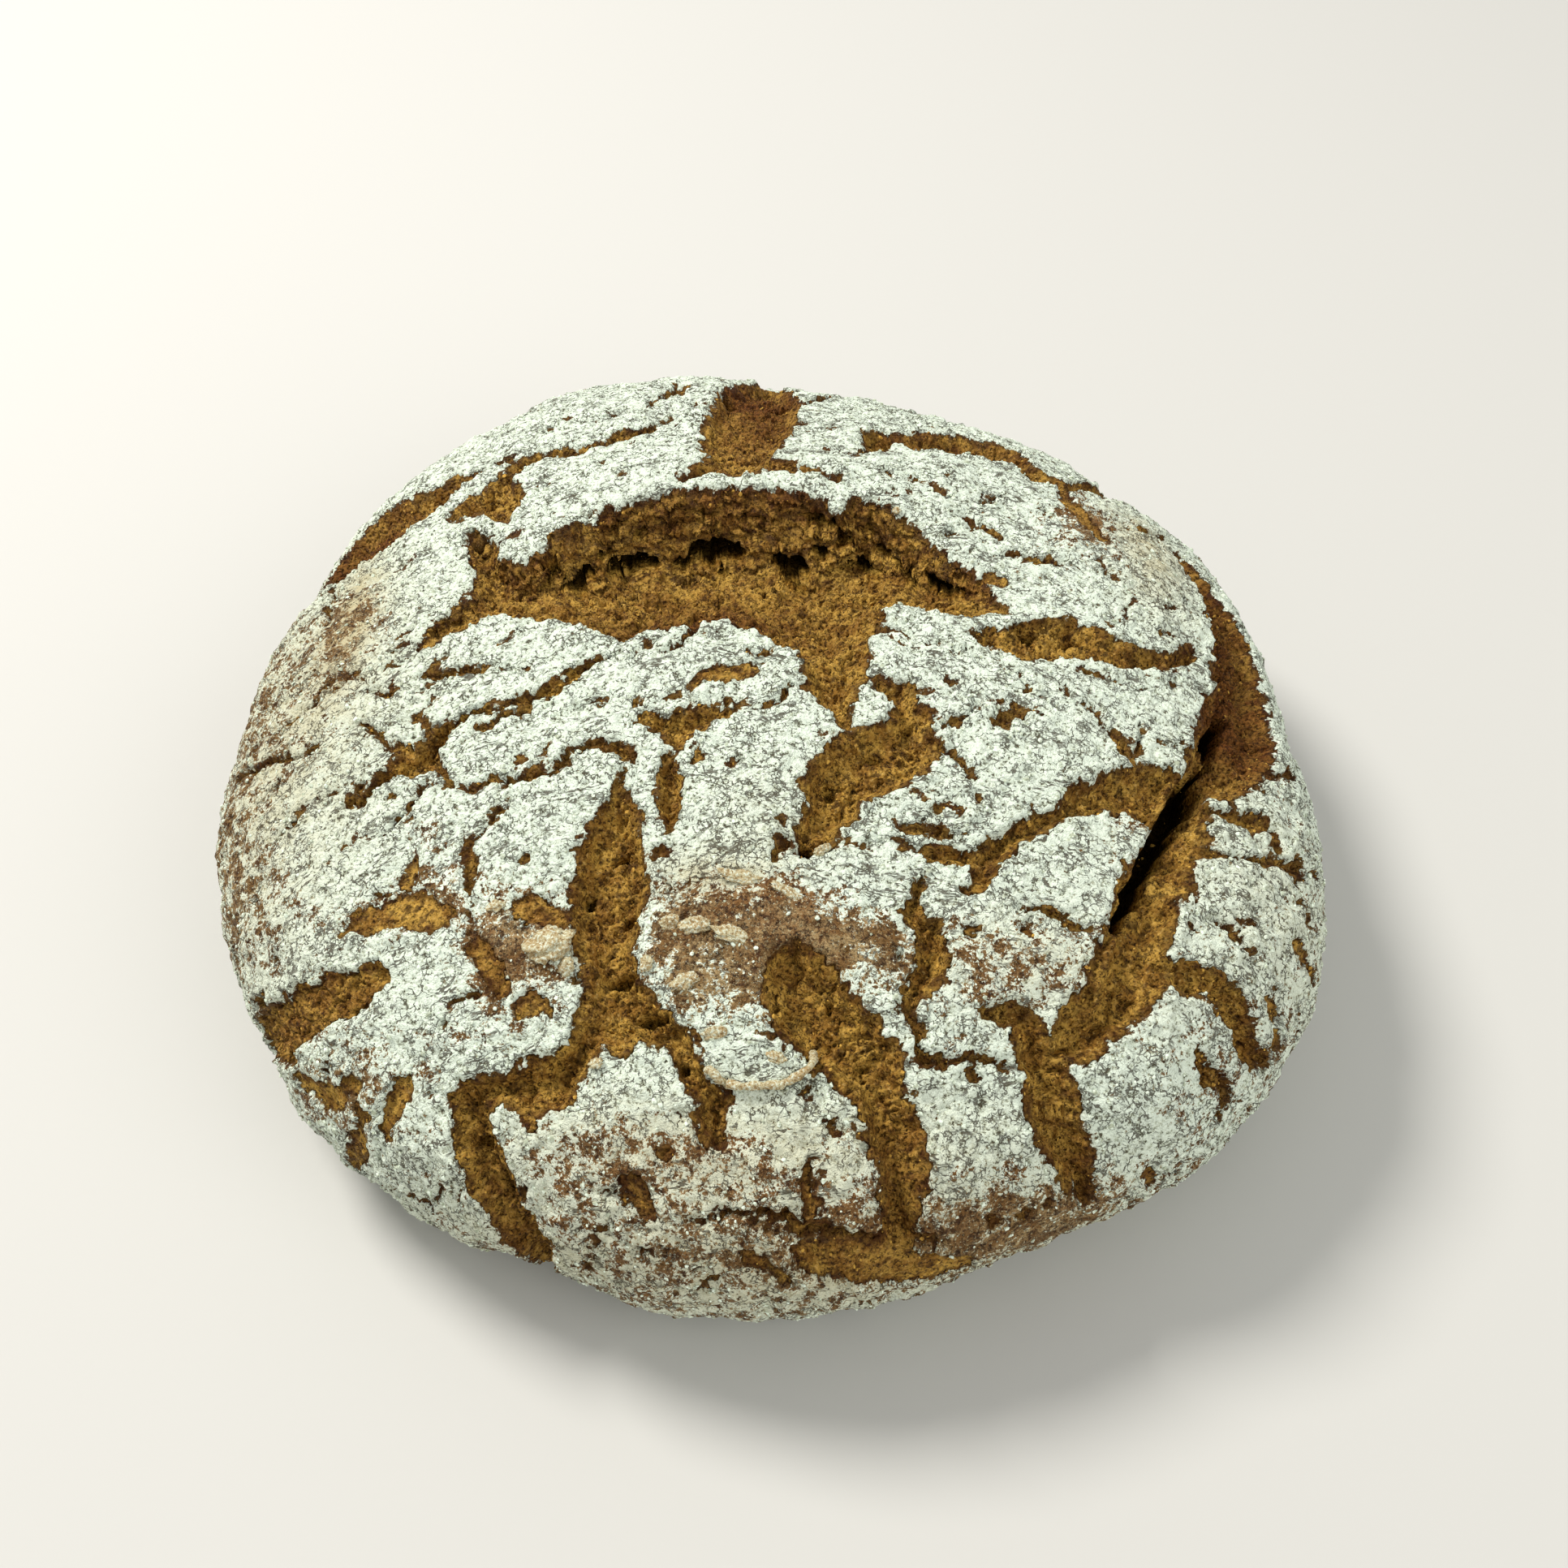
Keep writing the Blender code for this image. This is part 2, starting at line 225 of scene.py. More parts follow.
tears = [
    # crown, below the gape
    ("channel", (17, 2, 9), (16, -8, 8), (16, -13, 6.5), (15, -19, 5), (16.5, -25, 2.5), (18, -29, 1.2)),
    ("hair", (0, -24, 0.6), (4, -23.5, 0.8), (8, -21, 1)),
    ("channel", (23.5, -19, 1.5), (28, -22, 3), (28.5, -27, 3.5), (27, -33, 6), (22, -37, 8),
     (16, -42, 6.5), (13, -48, 5.5), (10.5, -53, 3.5), (8, -57, 1)),
    ("crack", (25, -18, 0.8), (30, -20, 0.8), (33, -21, 0.6)),
    ("crack", (31, -31, 1.5), (34, -33, 1.5), (37, -37, 1), (39, -41, 0.6)),
    ("crack", (5, -52, 0.8), (5, -55, 1.2), (3, -58, 0.8)),
    # back
    ("channel", (-1, 50, 6), (-1, 56, 8.5), (-0.5, 60, 8.5), (0.5, 66, 9.5), (2, 74, 10.5),
     (3, 82, 10.5), (4, 90, 10.5), (5, 97, 9.5), (6, 107, 7), (7, 118, 4)),
    ("split", (-14, 43, 0.5), (-9, 46, 2.2), (-4, 49, 4)),
    ("split", (4, 50, 3.5), (10, 48.5, 2.2), (16, 46.5, 1.6), (21, 44, 0.8)),
    ("channel", (-108, 54, 8), (-98, 56, 11), (-88, 58, 11), (-78, 59.5, 9.5), (-71, 63, 6),
     (-66, 65, 4), (-60, 67, 1.5), (-52, 67, 0.8)),
    ("channel", (-66, 47, 1), (-61, 50, 4.5), (-56, 51, 7), (-53, 46, 5.5)),
    ("split", (-55, 55, 4), (-54, 58, 3), (-48, 63, 3), (-42, 63, 2.2), (-35, 62.5, 2.5), (-28, 64, 2),
     (-22, 67, 2), (-18, 71, 1.3), (-12, 76, 0.8), (-9, 83, 0.6)),
    ("crack", (-20, 84, 1), (-20, 80, 0.5), (-23, 78, 0.8), (-29, 75.5, 0.5), (-32, 72, 0.5)),
    ("crack", (-18, 86, 1.5), (-14, 95, 2), (-20, 100, 1.5), (-23, 107, 1.2)),
    ("hair", (-24, 62, 0.4), (-22, 58, 0.5), (-20, 56, 0.3)),
    ("hair", (-15, 70, 0.4), (-13, 67, 0.4)),
    ("channel", (22, 60, 0.5), (25, 58, 0.8), (28, 60, 1.2), (31, 65, 2.5), (33, 71, 5), (40, 71, 5),
     (48, 72, 8), (55, 73, 8), (62, 71, 7), (67, 64, 4), (71, 60, 5), (76, 58, 3.5), (84, 63, 4.5),
     (91, 69, 5), (98, 78, 5)),
    ("bare", (74, 53, 2), (75, 46, 2), (77, 39, 2.5), (81, 33, 2)),
    ("crack", (90, 52, 1), (93, 47, 2), (98, 48, 1.5), (104, 52, 1)),
    ("crack", (16, 90, 1), (20, 100, 2), (22, 107, 1.5)),
    ("hair", (13, 73, 0.4), (17, 70, 0.4)),
    ("hair", (32, 50, 0.8), (33, 47, 0.8)),
    ("hair", (37, 48, 0.5), (45, 42, 0.5)),
    ("hair", (30, 40, 0.4), (38, 39, 0.4)),
    # low on the back
    ("crack", (-52, 118, 0.6), (-43, 122, 1.4), (-34, 124, 1.8), (-25, 127, 0.7)),
    ("crack", (28, 128, 0.7), (39, 127, 1.7), (50, 123, 1.5), (60, 120, 0.6)),
    ("crack", (-98, 92, 0.6), (-90, 100, 1.5), (-81, 107, 0.7)),
    # right rim
    ("channel", (103, 42, 3), (108, 33, 4), (112, 25, 6), (114, 18, 8.5), (114.5, 10, 9), (113, 2, 9),
     (111.5, -5, 9), (109, -12, 9), (104, -19, 9), (97, -27, 8), (90, -33, 5.5)),
    ("fissure", (107, -9, 2.0), (105, -12, 2.6), (103, -15, 2.2), (99, -19, 2.6), (97, -23, 2.2),
     (94, -28, 1.4), (89, -33, 2.5), (86, -36, 3.3), (83, -40, 3.6), (79, -45, 3.2), (76, -48, 3.0),
     (73, -52, 2.9), (70, -56, 2.8), (67, -60.5, 2.5), (64.5, -65, 1.9), (62.5, -68, 1.2)),
    ("split", (70, -55, 2.5), (67, -58, 2.5), (64, -62, 2), (62, -67, 1.4), (60, -73, 1.2),
     (57, -81, 1.5), (54, -86, 1.8), (50, -93, 1.2)),
    ("channel", (84, -42, 4), (80, -47, 5), (74, -55, 5), (70, -62, 5), (67, -70, 6), (65, -77, 6),
     (62, -83, 5), (57, -89, 4), (52, -93, 3)),
    ("split", (80, -36, 2), (76, -38, 4), (72, -41, 5), (75, -46, 3)),
    ("split", (46, -5, 1.2), (51, -6, 3.5), (56, -7, 5), (62, -5, 6), (70, -4, 6), (78, -6, 4.5),
     (85, -6, 3.5), (91, -4.5, 2), (96, -1, 2), (100, 4, 1)),
    # front right
    ("split", (22, -54.5, 0.5), (27, -55, 0.5), (31, -57, 1.3), (36, -57, 2), (40, -57, 2.2),
     (45, -52, 2.2), (50, -48.5, 2), (55, -46, 1.8), (60, -43.5, 3), (66, -41, 4), (72, -40, 5)),
    ("crack", (26, -51, 0.5), (29, -51.5, 1.2), (33, -52, 1.2), (37, -53, 0.6)),
    ("crack", (41, -59, 1.8), (39, -62, 1.8), (37, -65, 1)),
    ("split", (66, -74, 3), (70, -75, 2.5), (76, -76, 3), (82, -77, 3.5), (87, -81, 3.5), (90, -86, 3),
     (93, -88, 2.5), (97, -88, 1.5)),
    ("crack", (78, -89, 0.8), (82, -93, 2.5), (86, -94, 1.5), (87, -100, 1.5)),
    ("crack", (84, -43, 1.5), (90, -42, 1.5), (95, -42.5, 2), (100, -42, 2), (103, -44, 1.5), (102, -47, 1)),
    ("crack", (76, -51, 1.5), (82, -51, 1.5), (88, -51, 1), (94, -50.5, 0.8), (100, -49.5, 1.5),
     (106, -49, 1.5), (110, -47, 0.8)),
    ("crack", (108, -51.5, 0.8), (113, -49, 0.5), (122, -44, 1)),
    ("crack", (81, -64, 0.4), (85, -65, 0.8), (89, -68, 0.8), (91, -70, 0.3)),
    ("hair", (77, -57, 0.6), (80, -60, 0.6)),
    ("bare", (94, -76, 1), (97, -78, 2), (99, -82, 1.5), (100, -86, 1)),
    ("bare", (104, -66, 2), (108, -68, 1.5), (112, -70, 1.5)),
    ("crack", (46, -66.5, 0.6), (50, -66, 1), (55, -68.5, 1), (59, -69.5, 0.4)),
    ("crack", (108, -28, 1.5), (114, -26, 1.5), (120, -23, 1.5)),
    ("hair", (100, -33, 0.6), (106, -33.5, 0.6)),
    ("channel", (40, -87, 1.5), (45, -87, 2), (47, -91, 3), (49, -95, 4.5), (51, -100, 5), (53, -106, 5),
     (56, -111, 5), (59, -116, 3), (63, -121, 2)),
    ("bare", (75, -113, 1.5), (79, -118, 1.5)),
    ("crack", (40, -123.5, 0.5), (45, -125, 0.7), (49, -124, 0.7), (54, -121, 0.7), (58, -118, 0.5)),
    # small cracks of the right islands
    ("crack", (24, -7, 0.6), (29, -5, 0.6), (34, -2, 0.5)),
    ("crack", (36, -9, 0.6), (40, -10, 0.8), (45, -10.5, 0.6)),
    ("crack", (34, -29, 0.6), (40, -26, 0.8), (43, -24, 0.6)),
    ("crack", (45, -28, 0.6), (51, -25, 0.7)),
    ("crack", (45, 36.5, 0.8), (49, 34, 1), (53, 30, 1), (57, 28, 0.8)),
    ("crack", (55, 22.5, 0.5), (60, 22.5, 1), (65, 21.5, 1.8), (68, 20, 1), (70, 23.5, 0.3)),
    ("crack", (53, 39.5, 1), (56, 42, 0.8), (58, 46, 0.5)),
    ("bare", (53, 14, 2), (55, 14, 2)),
    ("crack", (66, -14, 0.3), (70, -13.5, 1), (75, -15, 0.5)),
    ("crack", (50, -14, 0.6), (52, -17, 1), (53, -20, 1), (55, -22, 0.7)),
    ("crack", (60, -17, 0.3), (62, -21, 0.5), (67, -24, 0.6), (68, -27, 1.5), (70, -30, 2), (72, -33, 1.5)),
    ("crack", (77, -25, 0.5), (75, -28, 0.7), (73, -32, 0.6)),
    ("hair", (82, -29, 0.5), (86, -27, 0.5)),
    ("hair", (27, -44, 0.5), (34, -45, 0.5), (36, -48, 0.5)),
    ("hair", (88, 14.5, 0.4), (95, 14, 0.6), (99, 20, 0.5)),
    ("hair", (76, 26, 0.4), (80, 20, 0.5), (85, 15, 0.4), (83, 8, 0.5), (80, 3, 0.4)),
    # left of the crown
    ("split", (-27, -8, 0.8), (-32, -10, 1.5), (-37, -14, 1.8), (-42, -17, 2), (-50, -18.5, 1),
     (-55, -19, 1.2), (-60, -20.5, 1.5), (-64, -24, 2.5), (-67, -28, 3.2), (-74, -30, 2.5), (-80, -35, 1)),
    ("crack", (-57, -25.5, 0.5), (-53, -22.5, 1), (-47, -21, 1), (-43, -18, 1)),
    ("crack", (-80, -31, 1), (-82, -34, 1.2), (-84, -35.5, 0.5)),
    ("crack", (-85, -15, 0.8), (-81, -16, 1), (-78, -20, 1), (-75, -23, 1), (-70, -26, 2)),
    ("crack", (-73, -17, 0.6), (-69, -17, 0.8), (-67, -20, 0.8), (-66, -24, 0.8)),
    ("split", (-65, -29, 2.5), (-62, -33, 1), (-57, -37.5, 0.8), (-52, -38, 0.6), (-49, -36.5, 1),
     (-45, -37, 1.2), (-40, -36, 0.8), (-36, -34, 1), (-33, -31.5, 1), (-28, -31, 1.2), (-24, -34, 1.3),
     (-21, -36.5, 0.5)),
    ("crack", (-65, -35, 1), (-69, -41, 0.8), (-72, -43.5, 0.8), (-76, -44.5, 0.4), (-81, -44, 0.4),
     (-85, -48, 0.4)),
    ("crack", (-71, -5.5, 0.8), (-67, -5.5, 1.2), (-62, -6.5, 1.3), (-58, -7, 1.2), (-53, -6.5, 0.5),
     (-49, -8, 0.8), (-46, -10, 0.6)),
    ("hair", (-72, -10, 0.5), (-67, -8, 0.5)),
    ("hair", (-69, -17, 0.3), (-66, -11.5, 0.4)),
    ("crack", (-88, 0.5, 0.4), (-84, -2, 0.5), (-82, -5, 0.8), (-78, -7.5, 1.2), (-73, -7.5, 0.8)),
    ("crack", (-24, -10, 0.4), (-20, -6, 0.6), (-17, -4, 0.5)),
    ("crack", (-17, -9.5, 0.5), (-14, -6, 0.8), (-11, -2, 0.8)),
    ("bare", (-12, -19.5, 0.5), (-8, -17, 2), (-4, -16, 2), (0, -15, 1.5), (4, -13, 0.4)),
    ("crack", (-36, -24, 0.4), (-33, -21, 0.6), (-29, -20, 0.5)),
    ("split", (-21, -25.5, 1.5), (-15, -28, 3.5), (-10, -27, 3), (-5, -25, 1.8), (-2, -22.5, 0.4)),
    ("split", (-14, -28, 3.5), (-14, -33, 1.5)),
    ("split", (-15.5, -35, 1), (-16, -39, 2), (-15.5, -44, 3.4), (-15.5, -48, 2.5), (-16, -51, 0.5)),
    ("bare", (-10, -35, 1.6), (-10, -36, 1.6)),
    ("crack", (-107, -6, 1.2), (-103, -5, 1.3), (-96, -1, 0.8), (-92, 4, 0.5)),
    ("crack", (-122, -10, 0.6), (-116, -12, 1.2), (-110, -14, 1.5), (-105, -15, 1), (-100, -17, 1),
     (-93, -17.5, 0.7)),
    ("crack", (-100, 43, 0.7), (-99, 34, 1), (-99, 25, 0.7)),
    ("hair", (-83, 20, 0.5), (-77, 24, 0.5)),
    ("hair", (-95, -33, 0.5), (-86, -30, 0.5)),
    ("hair", (-45, -41, 0.6), (-50, -46, 0.8), (-54, -50, 1), (-53.5, -56, 1), (-53, -63, 0.6)),
    # front left
    ("channel", (-25, -38, 0.5), (-25, -43, 1.5), (-25.5, -49, 4.5), (-27, -55, 6.5), (-27, -61, 7.5),
     (-28, -67, 6.5), (-28, -73, 6), (-27, -79, 5), (-26, -86, 7)),
    ("channel", (-28, -87, 5), (-33, -92, 3), (-38, -97, 5), (-43, -98, 5), (-48, -97.5, 3), (-55, -98.5, 3)),
    ("channel", (-25, -86, 6), (-20, -88, 4), (-14, -92, 3.5), (-12, -97, 2.5), (-9, -101, 3.5),
     (-9, -105, 3), (-9, -109, 0.8)),
    ("split", (-34, -80, 0.7), (-32, -84, 0.9), (-33, -88, 1), (-35, -92, 1), (-38, -94, 0.7)),
    ("crack", (-63, -96.5, 0.5), (-58, -97.5, 0.8), (-50, -97, 0.8)),
    ("channel", (-55, -99, 4.5), (-55, -106, 5), (-54, -113, 5.5), (-52.5, -120, 5.5), (-51, -127, 6),
     (-53, -134, 6), (-55, -142, 5)),
    ("crack", (-72, -73, 2.5), (-78, -74.5, 4.5), (-85, -75, 5), (-92, -76, 6), (-99, -77.5, 6.5),
     (-106, -76.5, 6), (-113, -76, 5), (-119, -77, 3)),
    ("crack", (-114, -69, 1.2), (-106, -69, 1.5)),
    ("bare", (-82, -62, 0.6), (-77, -62, 2), (-70, -61, 4), (-64, -62, 4), (-58, -64, 2.5)),
    ("bare", (-66, -55, 1.5), (-65, -50, 1)),
    ("channel", (5, -76, 3), (5, -78, 4.5), (8, -84, 7.5), (12, -90, 7), (17, -95, 6.5), (20, -101, 5.5),
     (22, -107, 5.5), (23.5, -113, 4.5), (23, -119, 4), (24, -126, 4)),
    ("split", (29, -62, 0.8), (28, -67, 1.8), (27, -69.5, 1.5), (30, -72, 2), (31, -76, 2.8),
     (30, -80, 3), (27, -84, 2), (25, -87, 1)),
    ("crack", (25, -87, 1), (27, -90, 1), (27, -94, 1), (30, -96, 1.2), (34, -95.5, 0.8), (38, -96, 1),
     (43, -97, 0.5)),
    ("bare", (8, -112, 1.2), (7, -116, 1.8), (8, -120, 2.2)),
    ("split", (-15, -121, 0.8), (-8, -120, 0.8), (0, -120, 1.2), (5, -123, 1.5), (12, -124, 1),
     (22, -126, 1), (33, -129, 0.8)),
    ("bare", (5, -128, 3), (15, -130, 5), (25, -134, 5), (38, -137, 4)),
    ("bare", (-5, -128, 1.5), (3, -133, 1.5)),
    ("bare", (-52, -71, 2.5), (-50, -75, 2.5), (-48, -79, 2)),
    ("bare", (-44, -64, 2), (-40, -66, 3), (-36, -68, 2)),
    ("bare", (-43, -84, 2.5), (-41, -84, 2.5)),
    ("bare", (-97, -88, 2), (-88, -93, 3), (-80, -91, 1.5)),
    ("bare", (-68, -93, 1.5), (-70, -96, 2), (-75, -101, 2)),
    ("bare", (-80, -97, 1.5), (-83, -101, 2), (-87, -105, 3), (-93, -107, 2), (-98, -109, 1.5)),
    ("bare", (-25, -115, 1.5), (-22, -120, 1.5)),
    ("bare", (-43, -104, 2), (-43, -105, 1.5)),
    ("crack", (-88, -113, 0.6), (-80, -116, 0.9), (-73, -118, 0.6)),
]

# Deep pits in the torn crumb: u, v, reach along u and v, depth
pits = (
    (-43, 25, 2, 1.8, 3.5), (-59, 35, 2.4, 2.2, 4), (-52, 14, 2.2, 1.4, 2.5), (-31, 12, 3, 1.2, 1.8),
    (28, 8, 3, 1.0, 1.6), (-12, 16, 3.5, 1.0, 1.6), (59, -3, 3.6, 1.5, 4), (69, -4, 2.8, 1.2, 3.5),
    (-25, -58, 2, 0.9, 3.5), (-32, -66, 1.3, 2, 3.5), (-24, -70, 1.2, 1.6, 2.5), (-14, -97, 1.6, 1.2, 3),
    (-20, -88, 2.8, 0.9, 3.5), (-25, -83, 2.5, 0.9, 3), (-55, -111, 2, 2, 2.5), (-3, 93, 3, 2.6, 4.5),
    (9, 94, 3.6, 3, 5), (8, -57, 1.6, 1.6, 3.5), (25, -77, 1, 1, 2), (17, -110, 0.9, 0.9, 2),
    (-53, -120, 1.2, 1.5, 2), (12, -88, 1.2, 1.4, 2.5), (18, -100, 1.2, 1.2, 2), (22, -38, 1.8, 1.2, 3),
    (28, -30, 1.2, 1.5, 2.5), (14, -46, 1.3, 1.8, 2.5), (112, 14, 1.2, 2, 2.5), (109, 28, 1.1, 1.6, 2.5),
    (-85, 61, 2.2, 1.2, 2.5), (-57, 52, 1.8, 1.3, 2.5), (52, 74, 2, 1.2, 2.5), (0, 60, 1.8, 1.3, 2.5),
)

# Caves in the gape's far wall: u, depth below the lip, reach along and down, and how far they go back
caves = (
    (-38, 8.0, 4.6, 1.7, 7), (-24.5, 9.3, 6.8, 2.1, 8), (-13.5, 9.8, 2.6, 1.4, 5.5),
    (-6.5, 9.4, 6.4, 2.4, 9), (10, 10.2, 4.6, 2.1, 8), (16.5, 7.6, 2.2, 1.7, 5), (25, 9.4, 6.0, 1.4, 4.5),
    (44, 4.7, 5.2, 1.7, 6), (17, 3.2, 6.0, 1.2, 3.4), (22, 5.4, 2.0, 1.7, 3.4), (-22, 4.8, 2.0, 1.2, 3),
    (-31, 6.2, 3.0, 1.2, 3.4), (2, 4.4, 3.4, 0.9, 2.6), (32, 6.0, 3.2, 1.1, 3.4), (36, 6.6, 2.4, 1.2, 3.4),
    (-44, 5.4, 2.2, 1.2, 3.4), (-10, 3.6, 4.0, 0.8, 2.2), (27, 4.0, 3.0, 0.8, 2.4),
    (-27, 2.8, 3.6, 0.8, 2.2),
)

# The gape: its far lip and its near edge, left to right
farLip = (
    (-73, 2), (-70, 9), (-66, 14), (-62, 17), (-63, 20), (-61, 23), (-62, 32), (-63, 36), (-60, 40),
    (-57, 37), (-56, 34), (-53, 29), (-51, 24), (-45, 28.5), (-40, 32), (-35, 34.5), (-30, 36.5),
    (-22, 38.5), (-12, 40), (0, 41), (10, 40.5), (16, 39), (19, 36), (21, 35), (24, 38), (28, 38),
    (32, 35.5), (36, 31), (40, 25), (44, 20.5), (48, 17), (51, 14), (53, 9), (55, 5), (58, 3),
)
nearEdge = (
    (-73, 2), (-66, 5), (-60, 7), (-54, 8.5), (-45, 5.5), (-36, 2), (-31, -2), (-26, -4.5), (-18, -3),
    (-11, -2), (-5, -0.5), (0, -4), (6, -9), (10, -12), (16, -13), (22, -10), (26, -5), (29, 1), (33, 3),
    (40, 1), (48, 1), (58, 3),
)

# Flour on the crust: its usual cover, and patches that add to it or take away:
# u, v, reach along u and v, amount
usualCover = 0.70
# the patches on the left side, around u -90 to -120, thin the flour and are partly painted shade for the
# softer light on that side
flourAndShadePatches = (
    (-119, -3, 24, 60, -0.17), (6, -75, 8, 6, -0.22), (-12, -84, 8, 5, -0.10), (-100, -50, 22, 20, -0.08),
    (-108, -95, 30, 16, -0.05), (-90, 25, 8, 26, -0.12), (-122, -46, 16, 24, -0.06),
    (-60, -48, 8, 10, -0.10), (0, 152, 120, 15, -0.17), (-136, 62, 20, 40, -0.15), (128, 78, 22, 34, -0.14),
    (-12, 122, 20, 8, -0.10), (50, -76, 20, 9, -0.14), (36, -86, 12, 12, -0.08), (112, -60, 16, 40, -0.10),
    (88, -98, 24, 20, -0.12), (75, -44, 10, 6, -0.16), (62, -52, 12, 5, -0.08), (2, -68, 17, 9, -0.25),
    (18, -77, 12, 7, -0.20), (-14, -72, 8, 8, -0.20), (-44, -70, 12, 9, -0.22), (-48, -84, 16, 9, -0.12),
    (-62, -60, 20, 7, -0.18), (-82, -92, 18, 10, -0.17), (-9, -81, 9, 7, -0.15), (0, -86, 5, 8, -0.14),
    (-50, -75, 9, 7, -0.14), (-20, -110, 30, 9, -0.16), (10, -126, 50, 12, -0.19),
    (60, -126, 26, 13, -0.20), (-70, -130, 36, 18, -0.07), (-94, 18, 14, 24, -0.09), (72, 34, 9, 12, -0.12),
    (-50, 99, 20, 8, -0.1), (0, -150, 150, 14, -0.14), (78, 42, 7, 16, -0.24), (58, -20, 10, 8, -0.06),
    (-6, -98, 16, 6, 0.16), (-40, -48, 18, 12, 0.16), (-2, -42, 12, 16, 0.16), (46, -22, 22, 16, 0.12),
    (28, -60, 18, 8, 0.10), (-90, -36, 12, 8, 0.12), (-78, -50, 10, 6, 0.12), (-30, 82, 22, 16, 0.16),
    (38, 58, 26, 12, 0.12), (-85, 42, 22, 12, 0.12), (50, -104, 14, 10, 0.08), (98, -44, 12, 12, 0.10),
    (-58, -78, 12, 6, 0.14), (0, 47, 45, 8, 0.2), (-45, -15, 30, 14, 0.06), (-104, 8, 10, 16, 0.03),
)

# Redder, harder baked crumb and crust: u, v, reach along u and v, amount
bakedPatches = (
    (-12, 3, 24, 9, 1.0), (112, 6, 12, 44, 1.0), (3, -68, 16, 11, 0.75), (0, 38, 60, 6, 0.75),
    (46, 16, 10, 8, 0.5), (-50, 22, 10, 8, 0.4), (-18, -62, 6, 14, 0.2), (4, 88, 11, 30, 0.85),
    (-98, 58, 20, 10, 0.95), (4, 101, 14, 8, 0.6), (58, 71, 20, 8, 0.5), (-46, -70, 14, 12, 0.5),
    (20, -120, 70, 16, 0.45), (-60, -130, 40, 20, 0.35), (98, -18, 12, 14, 0.8), (80, 40, 10, 16, 0.4),
    (88, -95, 20, 16, 0.35), (44, -80, 14, 8, 0.3), (-95, 58, 16, 10, 0.45), (-98, -77, 20, 6, 0.55),
    (48, 74, 24, 8, 0.4), (-10, -110, 24, 10, 0.35), (0, 160, 120, 12, 0.45),
)

# Warmer, yellower flour; the two on the left side, at u -90 and -104, are partly painted shade for the softer
# light there
tanAndShadePatches = (
    (92, 34, 10, 22, 0.9), (-90, 26, 8, 26, 0.8), (-8, -62, 12, 5, 0.8), (-38, -73, 7, 5, 0.8),
    (-104, -12, 26, 54, 0.7), (0, -132, 90, 18, 0.75), (0, 150, 120, 18, 0.6), (-132, 62, 22, 40, 0.5),
    (48, -78, 20, 10, 0.35), (-10, -108, 40, 8, 0.5), (3, -50, 12, 10, 0.2), (100, -60, 30, 30, 0.3),
)


fineCracks = {"count": 480, "reach": 168, "shortest": 2.0, "longest": 11.0, "halfWidth": (0.3, 0.95)}


def scatterFineCracks():
    # short cracks in the floured skin that run along the arches of the loaf
    draws = np.random.default_rng(41)
    routes = []
    for crack in range(fineCracks["count"]):
        away = fineCracks["reach"] * np.sqrt(draws.uniform())
        turn = draws.uniform(0, 2 * np.pi)
        u, v = away * np.cos(turn), away * np.sin(turn)
        heading = -u / 150 + draws.normal(0, 0.45)
        longer = (fineCracks["longest"] - fineCracks["shortest"]) * draws.uniform() ** 2.2
        length = fineCracks["shortest"] + longer
        half = draws.uniform(*fineCracks["halfWidth"])
        route = []
        for step in range(4):
            bend = draws.normal(0, 0.5)
            along = length * (step / 3 - 0.5)
            width = half * (0.35, 1.0, 0.9, 0.3)[step]
            route.append((u + along * np.cos(heading) - bend * np.sin(heading),
                          v + along * np.sin(heading) + bend * np.cos(heading), width))
        routes.append(("hair", *route))
    return routes


def smoothRoute(points, spacing=1.6):
    points = np.array(points, float)
    padded = np.concatenate((points[:1], points, points[-1:]))
    steps = []
    for leg in range(len(points) - 1):
        before, start, end, after = padded[leg:leg + 4]
        count = max(1, int(np.hypot(*(end - start)[:2]) / spacing))
        for part in np.arange(count) / count:
            linear = after - before - 3 * (end - start)
            square = 2 * before - 5 * start + 4 * end - after
            steps.append(start + 0.5 * part * ((end - before) + part * (square + part * linear)))
    steps.append(points[-1])
    return np.array(steps)


# All the tear shapes are first worked out on a square raster of the crust map
rasterStep = 0.4
rasterReach = 180.0
rasterAxis = np.arange(-rasterReach, rasterReach + rasterStep / 2, rasterStep)
rasterU, rasterV = np.meshgrid(rasterAxis, rasterAxis, indexing="ij")
edgeReach = 14.0


def rasterWindow(low, high):
    first = np.clip(((low + rasterReach) / rasterStep).astype(int), 0, len(rasterAxis) - 1)
    last = np.clip(((high + rasterReach) / rasterStep).astype(int) + 2, 1, len(rasterAxis))
    return slice(first[0], last[0]), slice(first[1], last[1])


def distanceToLeg(u, v, start, end):
    run = end[:2] - start[:2]
    length = max(run @ run, 1e-9)
    part = np.clip(((u - start[0]) * run[0] + (v - start[1]) * run[1]) / length, 0, 1)
    away = np.hypot(u - start[0] - part * run[0], v - start[1] - part * run[1])
    return away, part


def drawTears():
    edge = np.full(rasterU.shape, edgeReach)
    depth = np.zeros(rasterU.shape)
    for kindName, *points in tears + scatterFineCracks():
        kind = tearKinds[kindName]
        route = smoothRoute(points)
        for start, end in zip(route, route[1:]):
            reach = max(start[2], end[2]) + edgeReach
            window = rasterWindow(np.minimum(start, end)[:2] - reach, np.maximum(start, end)[:2] + reach)
            away, part = distanceToLeg(rasterU[window], rasterV[window], start, end)
            half = start[2] + part * (end[2] - start[2])
            inside = half - away
            edge[window] = np.minimum(edge[window], -inside)
            most = kind["depth"] * np.minimum(1, 0.25 + half / kind["wall"] * 0.75)
            wall = np.minimum(kind["wall"], half * 0.95 + 0.1)
            depth[window] = np.maximum(depth[window], most * ease(inside, -0.15, wall))
    return edge, depth


